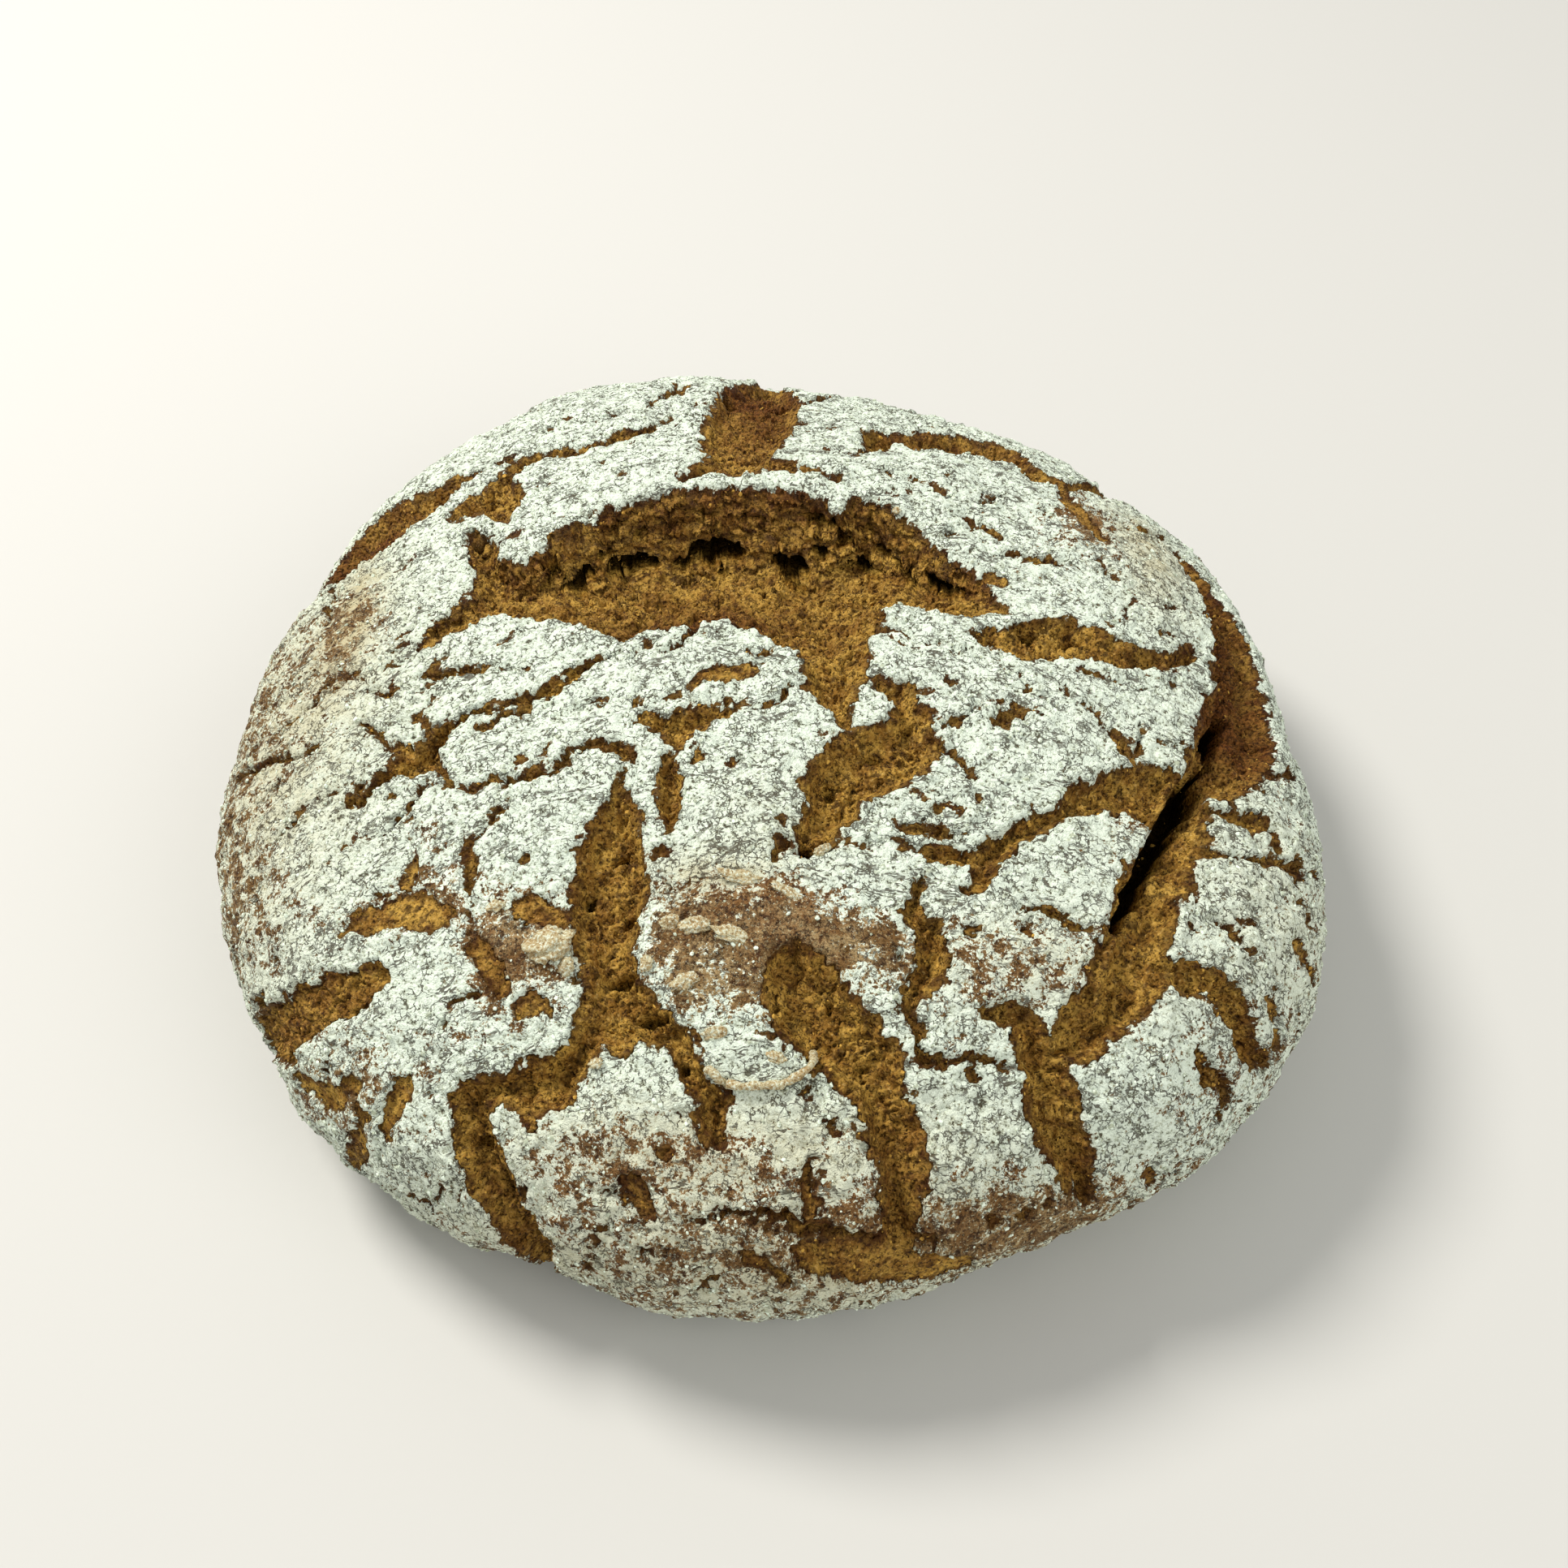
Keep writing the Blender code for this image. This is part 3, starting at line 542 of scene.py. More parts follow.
def distanceToLine(line):
    nearest = np.full(rasterU.shape, 99.0)
    window = rasterWindow(np.array((-96.0, -36.0)), np.array((80.0, 62.0)))
    for start, end in zip(line, line[1:]):
        leg = np.array(start, float), np.array(end, float)
        away, part = distanceToLeg(rasterU[window], rasterV[window], *leg)
        nearest[window] = np.minimum(nearest[window], away)
    return nearest


def insideOutline(line):
    inside = np.zeros(rasterU.shape, bool)
    for (startU, startV), (endU, endV) in zip(line, line[1:] + line[:1]):
        if startV == endV:
            continue
        crosses = (rasterV >= min(startV, endV)) & (rasterV < max(startV, endV))
        at = startU + (rasterV - startV) / (endV - startV) * (endU - startU)
        inside ^= crosses & (rasterU < at)
    return inside


def drawGape(edge, depth):
    # gentle near slope, a valley floor, then the steep far wall under the raised lip
    toFar = distanceToLine(farLip)
    toNear = distanceToLine(nearEdge)
    inside = insideOutline(list(farLip) + list(reversed(nearEdge))[1:-1])
    away = np.minimum(toFar, toNear)
    share = toNear / np.maximum(toNear + toFar, 1e-6)
    width = toNear + toFar
    most = np.clip(width * 0.33, 0, 12.0)
    gentle = ease(share, -0.22, 0.62) * (1 + 0.10 * np.sin(share * np.pi * 3))
    steep = 1 - ease(share, 0.64, 1.06)
    gapeDepth = most * np.minimum(gentle, steep)
    edge = np.where(inside, np.minimum(edge, -away), np.minimum(edge, away))
    depth = np.where(inside, np.maximum(depth * 0.8, gapeDepth), depth)
    wall = np.where(inside, ease(share, 0.56, 0.68), 0)
    return edge, depth, wall


def bakeBlobs(blobs):
    total = np.zeros(rasterU.shape)
    for u, v, reachU, reachV, amount in blobs:
        window = rasterWindow(np.array((u - 2.6 * reachU, v - 2.6 * reachV)),
                              np.array((u + 2.6 * reachU, v + 2.6 * reachV)))
        away = ((rasterU[window] - u) / reachU) ** 2 + ((rasterV[window] - v) / reachV) ** 2
        total[window] += amount * np.exp(-away)
    return total


def pitDepth(depth):
    # a pit on a low floor lies further back than it looks from the front
    total = np.zeros(rasterU.shape)
    for u, v, reachU, reachV, amount in pits:
        seen = v
        for step in range(4):
            place = rasterWindow(np.array((u, v)), np.array((u, v)))
            v = seen + 0.85 * depth[place].mean()
        window = rasterWindow(np.array((u - 2 * reachU, v - 2 * reachV)),
                              np.array((u + 2 * reachU, v + 2 * reachV)))
        spotU, spotV = rasterU[window], rasterV[window]
        ragged = 0.35 * layeredNoise(spotU, spotV, 1.8, 71)
        away = np.hypot((spotU - u) / reachU, (spotV - v) / reachV) + ragged
        total[window] = np.maximum(total[window], amount * (1 - ease(away, 0.7, 1.05)))
    return total


def sampleRaster(field, u, v):
    x = np.clip((u + rasterReach) / rasterStep, 0, len(rasterAxis) - 1.001)
    y = np.clip((v + rasterReach) / rasterStep, 0, len(rasterAxis) - 1.001)
    i, j = x.astype(int), y.astype(int)
    partX, partY = x - i, y - j
    low = field[i, j] * (1 - partX) + field[i + 1, j] * partX
    high = field[i, j + 1] * (1 - partX) + field[i + 1, j + 1] * partX
    return low * (1 - partY) + high * partY


tearEdge, tearDepth = drawTears()
tearEdge, tearDepth, farWall = drawGape(tearEdge, tearDepth)
pitField = pitDepth(tearDepth)
flourField = bakeBlobs(flourAndShadePatches)
bakedField = bakeBlobs(bakedPatches)
tanField = bakeBlobs(tanAndShadePatches)
swellField = bakeBlobs(swellings)
print("tears drawn:", len(tears), "routes and", len(pits), "pits")


def tornPlace(u, v):
    # the tears wander and chip a little, so that no edge is smooth
    swell = sampleRaster(swellField, u, v)
    lean = 0.9 * np.exp(-((u / 90) ** 2 + (v / 90) ** 2))
    warpU = 1.0 * layeredNoise(u, v, 5.0, 11) + 0.4 * layeredNoise(u, v, 1.7, 12, 2)
    warpV = 1.0 * layeredNoise(u, v, 5.0, 21) + 0.4 * layeredNoise(u, v, 1.7, 22, 2) + swell * lean
    chipU, chipV = chipped(u, v, 1.15, 13, 0.5)
    chipU, chipV = chipped(chipU, chipV, 2.7, 14, 0.5)
    return u + warpU, v + warpV, chipU + warpU, chipV + warpV


def crustFields(u, v):
    placeU, placeV, chipU, chipV = tornPlace(u, v)
    fields = {
        "edge": sampleRaster(tearEdge, chipU, chipV),
        "depth": sampleRaster(tearDepth, placeU, placeV),
        "wall": sampleRaster(farWall, placeU, placeV),
        "pit": sampleRaster(pitField, placeU, placeV),
        "cave": 0.0,
        "flour": sampleRaster(flourField, u, v),
        "baked": sampleRaster(bakedField, u, v),
        "tan": sampleRaster(tanField, u, v),
        "swell": sampleRaster(swellField, u, v),
    }
    wandering = 0.45 * layeredNoise(u, v, 3.0, 73, 3)
    for caveU, caveDepth, reachU, reachDepth, back in caves:
        near = np.abs(u - caveU) < 1.6 * reachU
        away = np.hypot((u - caveU) / reachU, (fields["depth"] + wandering - caveDepth) / reachDepth)
        away += 0.22 * wandering
        hole = back * (1 - ease(away, 0.75, 1.05)) * near * fields["wall"]
        fields["cave"] = np.maximum(fields["cave"], hole)
    return fields


def bodyHeight(u, v, fields):
    # broad shape that crust and crumb share, in mm over the smooth dome
    return fields["swell"] + 0.9 * layeredNoise(u, v, 34, 31, 2) + 0.55 * layeredNoise(u, v, 10, 35, 2)


def crustHeight(u, v, fields):
    edge = fields["edge"]
    height = bodyHeight(u, v, fields)
    height += 1.1 * (1 - np.exp(-np.maximum(edge, 0) / 5.0))
    lip = np.exp(-((edge - 0.9) / 1.0) ** 2) * (0.5 + 0.7 * layeredNoise(u, v, 5, 33, 2))
    height += 0.9 * lip
    height += 0.38 * layeredNoise(u, v, 4.0, 34, 2) + 0.22 * facets(u, v, 2.3, 36, 0.6)
    height += 0.16 * layeredNoise(u, v, 1.5, 37, 2)
    folds = 1 - np.abs(layeredNoise(u * 0.6, v * 1.2, 7, 38, 2))
    height -= 0.5 * ease(folds, 0.88, 1.0) * ease(layeredNoise(u, v, 20, 39, 2), -0.2, 0.5)
    height -= fields["depth"] + 1.5 * ease(edge, -0.1, -1.2) + fields["pit"]
    return height


# How far the crumb reaches under the crust, its thickness, its ledges, and where it is cut into pieces, in mm
crumbForm = {
    "underCrust": 0.7,
    "thickness": 3.0,
    "ledge": 2.4,
    "gapeFrom": -15.0,
    "gapeTo": 58.0,
    "gapeSide": 76.0,
    "backFrom": -5.0,
}


def crumbHeight(u, v, fields):
    # torn crumb: broken faces, pores and flaky ledges
    edge, depth, wall = fields["edge"], fields["depth"], fields["wall"]
    height = bodyHeight(u, v, fields) - 0.75 * ease(edge, -0.5, 0.5)
    rough = ease(depth, 0.15, 2.2)
    wanderU = u + 0.8 * layeredNoise(u, v, 3.0, 51, 2)
    wanderV = v + 0.8 * layeredNoise(u, v, 3.0, 52, 2)
    level = 1 - 0.75 * wall
    broken = 0.95 * facets(wanderU, wanderV, 3.4, 53) + 0.5 * layeredNoise(u, v, 5.5, 54, 2)
    height += rough * level * broken
    height += (0.4 + 0.6 * rough) * level * 0.5 * facets(wanderU, wanderV, 1.5, 57)
    height += (0.5 + 0.5 * rough) * 0.22 * layeredNoise(u, v, 0.9, 58, 2)
    pores = ease(0.34 - scatteredSpots(wanderU, wanderV, 2.0, 59)[0], 0, 0.2)
    height -= rough * 1.1 * pores * ease(layeredNoise(u, v, 5, 60, 2), 0.0, 0.4)
    height -= depth * (1 + 0.12 * layeredNoise(u, v, 9, 56, 2)) + fields["pit"]
    return height


def wallJut(u, v, fields):
    # the far wall breaks into ledges and flakes that stand forward, with caves that go back
    depth = fields["depth"]
    level = depth / 2.1 + 0.9 * layeredNoise(u, v, 8, 62, 2) + 0.35 * layeredNoise(u, v, 2.2, 63, 2)
    part = level - np.floor(level)
    strength = np.clip(0.55 + 0.7 * layeredNoise(u, v * 0.5, 6, 64, 2), 0, 1)
    ledge = ease(part, 0.0, 0.65) * (1 - ease(part, 0.8, 1.0)) * strength
    flakes = 0.9 * facets(u * 0.5 + 40, depth * 1.2, 2.0, 65, 0.8)
    flakes += 0.45 * facets(u, depth * 1.4, 0.9, 66, 0.8)
    return crumbForm["ledge"] * (ledge - 0.4) + flakes


def onDome(u, v, height, slide=0.0):
    # places at a height square to the smooth dome; slide pulls them towards the front
    step = 0.4
    alongU = crustPoints(u + step, v) - crustPoints(u - step, v)
    alongV = crustPoints(u, v + step) - crustPoints(u, v - step)
    up = np.cross(alongU, alongV)
    up /= np.linalg.norm(up, axis=1)[:, None]
    alongV /= np.linalg.norm(alongV, axis=1)[:, None]
    return crustPoints(u, v) + (up * np.reshape(height, (-1, 1)) - alongV * np.reshape(slide, (-1, 1))) * mm


def openMesh(piece, kind):
    # edit mode with nothing selected
    makeActive(piece)
    bpy.ops.object.mode_set(mode="EDIT")
    bpy.ops.mesh.select_mode(type=kind)
    bpy.ops.mesh.select_all(action="DESELECT")


def addLoafSheet():
    deselectAll()
    side = loafForm["gridSide"]
    bpy.ops.mesh.primitive_grid_add(x_subdivisions=side, y_subdivisions=side, size=2)
    piece = bpy.context.object
    piece.name = "loafCrust"
    # a round sheet from the square one
    count = len(piece.data.vertices)
    place = np.empty(count * 3)
    piece.data.vertices.foreach_get("co", place)
    place = place.reshape(-1, 3)
    x, y = place[:, 0].copy(), place[:, 1].copy()
    place[:, 0] = x * np.sqrt(1 - y * y / 2)
    place[:, 1] = y * np.sqrt(1 - x * x / 2)
    piece.data.vertices.foreach_set("co", place.ravel())
    # the flat base: the border goes down and in, ring by ring, to its middle
    openMesh(piece, "EDGE")
    bpy.ops.mesh.select_non_manifold()
    for ring, shrink in enumerate((0.97, 0.8, 0.6, 0.4)):
        drop = -1.0 if ring == 0 else 0.0
        bpy.ops.mesh.extrude_region_move(TRANSFORM_OT_translate={"value": (0, 0, drop)})
        bpy.ops.transform.resize(value=(shrink, shrink, 1), center_override=(0, 0, 0))
    bpy.ops.mesh.merge(type="CENTER")
    bpy.ops.mesh.select_all(action="SELECT")
    bpy.ops.mesh.normals_make_consistent(inside=False)
    bpy.ops.object.mode_set(mode="OBJECT")
    return piece


def readPoints(piece, name="co"):
    values = np.empty(len(piece.data.vertices) * 3)
    piece.data.vertices.foreach_get(name, values)
    return values.reshape(-1, 3)


def writePoints(piece, places):
    piece.data.vertices.foreach_set("co", np.ascontiguousarray(places, float).ravel())
    piece.data.update()


def writeField(piece, name, values):
    field = piece.data.attributes.new(name, "FLOAT", "POINT")
    field.data.foreach_set("value", np.ascontiguousarray(values, np.float32))


def readField(piece, name):
    values = np.empty(len(piece.data.vertices), np.float32)
    piece.data.attributes[name].data.foreach_get("value", values)
    return values.astype(float)


def writeMap(piece, places, u, v, under):
    writePoints(piece, places)
    for name, values in (("mapU", u), ("mapV", v), ("under", under)):
        writeField(piece, name, values)


def readMap(piece):
    return (readField(piece, name) for name in ("mapU", "mapV", "under"))


def sculptCrust(piece):
    flat = readPoints(piece)
    onTop = flat[:, 2] > -0.5
    share = np.hypot(flat[:, 0], flat[:, 1])
    outward = flat[:, :2] / np.maximum(share, 1e-6)[:, None]
    u = np.where(onTop, flat[:, 0], outward[:, 0]) * skirtLength
    v = np.where(onTop, flat[:, 1], outward[:, 1]) * skirtLength
    fields = crustFields(u, v)
    height = crustHeight(u, v, fields) * ease(skirtLength - np.hypot(u, v), 0, 9) * onTop
    # behind the crumb it gives way to the caves
    places = onDome(u, v, height, -fields["cave"] - 2.5 * ease(fields["cave"], 0, 1.5))
    angle = np.arctan2(flat[:, 1], flat[:, 0])
    baseRadius = rimRadius(angle % (2 * np.pi)) * loafForm["baseShare"] * share
    baseX = (baseRadius * np.cos(angle) - loafForm["middle"][0]) * loafForm["scaleX"]
    baseY = (baseRadius * np.sin(angle) - loafForm["middle"][1]) * loafForm["scaleY"]
    places[:, 0] = np.where(onTop, places[:, 0], baseX)
    places[:, 1] = np.where(onTop, places[:, 1], baseY)
    places[:, 2] = np.where(onTop, np.maximum(places[:, 2], 0), 0)
    writeMap(piece, places, u, v, np.where(onTop, 0.0, 1.0))
    print("crust sculpted:", len(places), "points")


def selectFaces(piece, chosen):
    openMesh(piece, "FACE")
    bpy.ops.object.mode_set(mode="OBJECT")
    piece.data.polygons.foreach_set("select", chosen)
    bpy.ops.object.mode_set(mode="EDIT")


def faceCorners(piece):
    corners = np.empty(len(piece.data.loops), int)
    piece.data.loops.foreach_get("vertex_index", corners)
    return corners


def onFaces(piece, values, choose):
    # a value for every face from those of its corners
    starts = np.empty(len(piece.data.polygons), int)
    piece.data.polygons.foreach_get("loop_start", starts)
    return choose.reduceat(values[faceCorners(piece)], starts)


def splitOff(piece, chosen, name):
    # the chosen faces become a piece of their own
    before = set(bpy.data.objects)
    selectFaces(piece, chosen)
    bpy.ops.mesh.separate(type="SELECTED")
    bpy.ops.object.mode_set(mode="OBJECT")
    part = (set(bpy.data.objects) - before).pop()
    part.name = name
    part.data.name = name
    return part


def addTornCrumb(sheet):
    # the torn places of the flat sheet, cut finer, become the crumb
    piece = sheet.copy()
    piece.data = sheet.data.copy()
    piece.name = "crumbTears"
    bpy.context.scene.collection.objects.link(piece)
    flat = readPoints(piece)
    fields = crustFields(flat[:, 0] * skirtLength, flat[:, 1] * skirtLength)
    inside = np.hypot(flat[:, 0], flat[:, 1]) < 0.985
    wanted = (fields["edge"] < crumbForm["underCrust"]) & (flat[:, 2] > -0.5) & inside
    wanted &= ~((fields["depth"] < 0.35) & (fields["edge"] > -0.3))
    selectFaces(piece, onFaces(piece, wanted, np.maximum) == 0)
    bpy.ops.mesh.delete(type="FACE")
    bpy.ops.mesh.select_all(action="SELECT")
    bpy.ops.mesh.subdivide(number_cuts=1)
    bpy.ops.object.mode_set(mode="OBJECT")
    return piece


def sculptCrumb(piece):
    topCount = len(piece.data.vertices)
    # its rim goes down into the loaf
    openMesh(piece, "EDGE")
    bpy.ops.mesh.select_non_manifold()
    bpy.ops.mesh.extrude_region_move(TRANSFORM_OT_translate={"value": (0, 0, -0.5)})
    bpy.ops.object.mode_set(mode="OBJECT")
    flat = readPoints(piece)
    below = flat[:, 2] < -0.25
    u, v = flat[:, 0] * skirtLength, flat[:, 1] * skirtLength
    fields = crustFields(u, v)
    height = crumbHeight(u, v, fields)
    buried = fields["swell"] - fields["depth"] - crumbForm["thickness"]
    height = np.where(below, buried, height)
    slide = np.where(below, 0, fields["wall"] * wallJut(u, v, fields) - fields["cave"])
    places = onDome(u, v, height, slide)
    places[:, 2] = np.maximum(places[:, 2], 0.0005)
    writeMap(piece, places, u, v, np.where(below, 1.0, 0.0))
    print("crumb sculpted:", topCount, "points on top")


# The rim tear gets painted shade below this depth; it lies to the right of this u, in mm
rimShade = {"from": 62.0, "depth": 5.0}


def paintFields(piece):
    u, v, under = readMap(piece)
    fields = crustFields(u, v)
    # pits, caves and the rim tear below its depth get painted near-black shade
    rimTear = np.where(u > rimShade["from"], fields["depth"] - rimShade["depth"], 0)
    holeShade = np.maximum(np.maximum(fields["pit"], fields["cave"]), rimTear)
    shares = {
        "holeShadeShare": holeShade / 6,
        "tearDepth": fields["depth"] / 12,
        "wallShare": fields["wall"],
        "flourCover": usualCover + fields["flour"],
        "bakedTone": fields["baked"],
        "tanTone": fields["tan"],
    }
    writeField(piece, "tearEdge", np.where(under > 0.5, 6.0, np.clip(fields["edge"], -6, 12)))
    for name, share in shares.items():
        writeField(piece, name, np.clip(share, 0, 1) * (1 - under))
    piece.data.shade_smooth()


def splitCrust(piece):
    # four quarters, so that each keeps its fine surface
    quarters = []
    sides = (("crustBackLeft", -1, 1), ("crustBackRight", 1, 1), ("crustFrontLeft", -1, -1))
    for name, sideU, sideV in sides:
        u, v = (onFaces(piece, readField(piece, field), np.add) for field in ("mapU", "mapV"))
        quarters.append(splitOff(piece, (u * sideU > 0) & (v * sideV > 0), name))
    piece.name = "crustFrontRight"
    return quarters + [piece]


def layBakeMap(piece):
    # the flat map again, as the piece's own UV map; the underside goes in the free corner
    u, v, under = readMap(piece)
    if piece.name.startswith("crust"):
        top = under <= 0.5
        acrossU, acrossV, side = np.abs(u), np.abs(v), skirtLength * 1.01
    else:
        top = np.full(len(u), True)
        acrossU, acrossV = u - u.min(), v - v.min()
        side = max(acrossU.max(), acrossV.max()) * 1.01
    places = readPoints(piece)
    reach = np.abs(places[:, :2]).max() * 2.4
    mapped = np.stack([np.where(top, acrossU / side, 1 - np.abs(places[:, 0]) / reach),
                       np.where(top, acrossV / side, 1 - np.abs(places[:, 1]) / reach)], -1)
    corners = faceCorners(piece)
    for old in list(piece.data.uv_layers):
        piece.data.uv_layers.remove(old)
    layer = piece.data.uv_layers.new(name="OFBake")
    layer.data.foreach_set("uv", mapped[corners].ravel())
    for name in ("mapU", "mapV"):
        piece.data.attributes.remove(piece.data.attributes[name])


loafCrust = addLoafSheet()
crumbTears = addTornCrumb(loafCrust)
sculptCrust(loafCrust)
sculptCrumb(crumbTears)


# Flour grains and crumb flakes are set on the finished surface

def surfaceSamples(piece):
    places, normals = readPoints(piece), readPoints(piece, "normal")
    u, v, under = readMap(piece)
    top = (under < 0.5) & (places[:, 2] > 1.2 * mm)
    return places[top], normals[top], u[top], v[top]


def addBits(name, spots, normals, sizes, flatten, seed):
    # one small lump, copied with its own size and turn at every spot
    draws = np.random.default_rng(seed)
    deselectAll()
    bpy.ops.mesh.primitive_ico_sphere_add(subdivisions=1, radius=1)
    piece = bpy.context.object
    piece.name = name
    shape = readPoints(piece)
    faces = np.array([face.vertices[:] for face in piece.data.polygons])
    count, points = len(spots), len(shape)
    lumps = shape[None] * draws.uniform(0.72, 1.28, (count, points, 1))
    stretch = draws.uniform(0.65, 1.35, (count, 1, 3))
    stretch[:, 0, 2] *= flatten
    lumps = lumps * stretch * sizes[:, None, None]
    spin = draws.uniform(0, 2 * np.pi, count)
    side = np.cross(normals, np.stack([np.cos(spin), np.sin(spin), draws.uniform(-0.5, 0.5, count)], -1))
    side /= np.linalg.norm(side, axis=1)[:, None]
    other = np.cross(normals, side)
    turned = (lumps[..., 0:1] * side[:, None] + lumps[..., 1:2] * other[:, None]
              + lumps[..., 2:3] * normals[:, None])
    places = (spots[:, None] + turned).reshape(-1, 3)
    allFaces = (faces[None] + (np.arange(count) * points)[:, None, None]).reshape(-1, 3)
    piece.data.clear_geometry()
    piece.data.from_pydata(places.tolist(), [], allFaces.tolist())
    piece.data.update()
    return piece


flourBits = {"name": "flourGrains", "count": 9000, "smallest": 0.2, "largest": 0.52, "flatten": 0.6,
             "leaning": 2.2, "seed": 82}
crumbBits = {"name": "crumbGrains", "count": 2200, "smallest": 0.14, "largest": 0.45, "flatten": 0.5,
             "leaning": 2.0, "seed": 85}


def scatterBits(bits, places, normals, weight):
    # grains on the points picked by weight; the leaning makes most of them small
    draws = np.random.default_rng(bits["seed"])
    picked = draws.choice(len(places), bits["count"], replace=False, p=weight / weight.sum())
    spread = draws.uniform(0, 1, len(picked)) ** bits["leaning"]
    sizes = (bits["smallest"] + spread * (bits["largest"] - bits["smallest"])) * mm
    spots = places[picked] + normals[picked] * (sizes * 0.1)[:, None]
    return addBits(bits["name"], spots, normals[picked], sizes, bits["flatten"], bits["seed"] + 1)


def scatterFlour(sheet):
    places, normals, u, v = surfaceSamples(sheet)
    fields = crustFields(u, v)
    cover = np.clip(usualCover + fields["flour"], 0.05, 1)
    clumps = ease(layeredNoise(u, v, 4.0, 81, 3), -0.5, 0.7)
    weight = (fields["edge"] > 0.15) * cover ** 2 * (0.15 + clumps)
    weight *= 1 + 2.2 * np.exp(-((fields["edge"] - 0.6) / 0.6) ** 2)
    return scatterBits(flourBits, places, normals, weight)


def scatterCrumbs(sheet):
    places, normals, u, v = surfaceSamples(sheet)
    fields = crustFields(u, v)
    weight = (fields["edge"] < -0.3) * (0.4 + ease(layeredNoise(u, v, 3.5, 84, 2), -0.3, 0.6))
    return scatterBits(crumbBits, places, normals, weight)


# Bits of dough that stuck to the crust: u, v, length, width, thickness, turn
scraps = (
    (-38, -73, 9.0, 6.5, 3.0, 15), (-35, -77, 4.0, 3.0, 1.6, 60), (-13, -81, 5.5, 2.6, 1.0, 25),
    (12, -57, 3.4, 3.0, 2.0, 0), (-3, -62, 9, 2.6, 1.0, -10), (5, -65, 7.0, 2.2, 0.9, -25),
    (-4, -72.5, 9, 3.4, 1.3, -12), (-11, -71, 6, 3.2, 1.3, 5), (-16, -70, 4.0, 3.0, 1.4, 40),
    (-20, -78, 3.6, 2.2, 1.2, 70), (-47, -80, 3.0, 2.2, 1.2, 10), (33, 33, 2.0, 1.6, 1.0, 0),
    (-48, -64, 3.4, 2.4, 1.2, 30), (-30, -95, 2.6, 2.0, 1.2, 10), (-8, -90, 4.4, 2.4, 1.0, 10),
    (2, -94, 3.6, 2.0, 0.9, -15),
)
curledStrip = {
    "route": ((-10, -96, 0.8), (-6, -98, 1.4), (-1, -98.8, 1.2),
              (4, -98, 1.5), (7, -96, 2.0), (8, -93.5, 1.2)),
    "thickness": 0.75,
}


def restingPlace(u, v, samples):
    places, normals, sampleU, sampleV = samples
    nearest = np.argmin((sampleU - u) ** 2 + (sampleV - v) ** 2)
    return places[nearest], normals[nearest]


def addScrap(index, scrap, samples):
    u, v, length, width, thickness, turn = scrap
    spot, up = restingPlace(u, v, samples)
    deselectAll()
    bpy.ops.mesh.primitive_ico_sphere_add(subdivisions=4, radius=1)
    piece = bpy.context.object
    ball = readPoints(piece)
    bumps = 0.30 * layeredNoise(ball[:, 0] * 1.3 + index * 7, ball[:, 1] * 1.3 + ball[:, 2] * 0.8, 0.7, 91, 4)
    ball = ball * (1 + bumps)[:, None]
    side = np.array([np.cos(radians(turn)), np.sin(radians(turn)), 0.0])
    side -= up * (side @ up)
    side /= np.linalg.norm(side)
    other = np.cross(up, side)
    halves = np.array([length, width, thickness]) * 0.5 * mm
    lifted = spot + up * thickness * 0.18 * mm
    across = ball[:, 0:1] * halves[0] * side + ball[:, 1:2] * halves[1] * other
    writePoints(piece, lifted + across + ball[:, 2:3] * halves[2] * up)
    return piece


def addCurledStrip(samples):
    data = bpy.data.curves.new("curledStrip", "CURVE")
    data.dimensions = "3D"
    data.bevel_depth = curledStrip["thickness"] * mm
    data.bevel_resolution = 2
    data.use_fill_caps = True
    route = smoothRoute(curledStrip["route"], 0.8)
    line = data.splines.new("POLY")
    line.points.add(len(route) - 1)
    for point, (u, v, lift) in zip(line.points, route):
        spot, up = restingPlace(u, v, samples)
        point.co = (*(spot + up * (lift - 0.5) * mm), 1)
        point.radius = 0.75 + 0.5 * abs(np.sin(u * 0.9))
    piece = bpy.data.objects.new("curledStrip", data)
    bpy.context.scene.collection.objects.link(piece)
    makeActive(piece)
    bpy.ops.object.convert(target="MESH")
    return bpy.context.object


def addScraps(sheet):
    samples = surfaceSamples(sheet)
    parts = [addScrap(index, scrap, samples) for index, scrap in enumerate(scraps)]
    parts.append(addCurledStrip(samples))
    deselectAll()
    for part in parts:
        part.select_set(True)
    bpy.context.view_layer.objects.active = parts[0]
    bpy.ops.object.join()
    piece = bpy.context.object
    piece.name = "doughScraps"
    piece.data.shade_smooth()
    return piece


doughScraps = addScraps(loafCrust)
flourGrains = scatterFlour(loafCrust)
crumbGrains = scatterCrumbs(crumbTears)
print("grains scattered")
paintFields(loafCrust)
paintFields(crumbTears)


def splitCrumb(piece):
    # the gape, the tears behind and at the sides, and those of the front to either side
    parts = []
    for name, side in (("crumbGape", 0), ("crumbBack", 1), ("crumbFrontLeft", 2)):
        lowU, highU = (onFaces(piece, readField(piece, "mapU"), way) for way in (np.minimum, np.maximum))
        lowV, highV = (onFaces(piece, readField(piece, "mapV"), way) for way in (np.minimum, np.maximum))
        gape = (lowV > crumbForm["gapeFrom"]) & (highV < crumbForm["gapeTo"])
        gape &= (lowU > -crumbForm["gapeSide"]) & (highU < crumbForm["gapeSide"])
        chosen = (gape, lowV > crumbForm["backFrom"], highU < 0)[side]
        parts.append(splitOff(piece, chosen, name))
    piece.name = "crumbFrontRight"
    return parts + [piece]


crustParts = splitCrust(loafCrust)
crumbParts = splitCrumb(crumbTears)
for part in crustParts + crumbParts:
    layBakeMap(part)
    print(part.name, sum(len(face.vertices) - 2 for face in part.data.polygons), "triangles")


# Materials

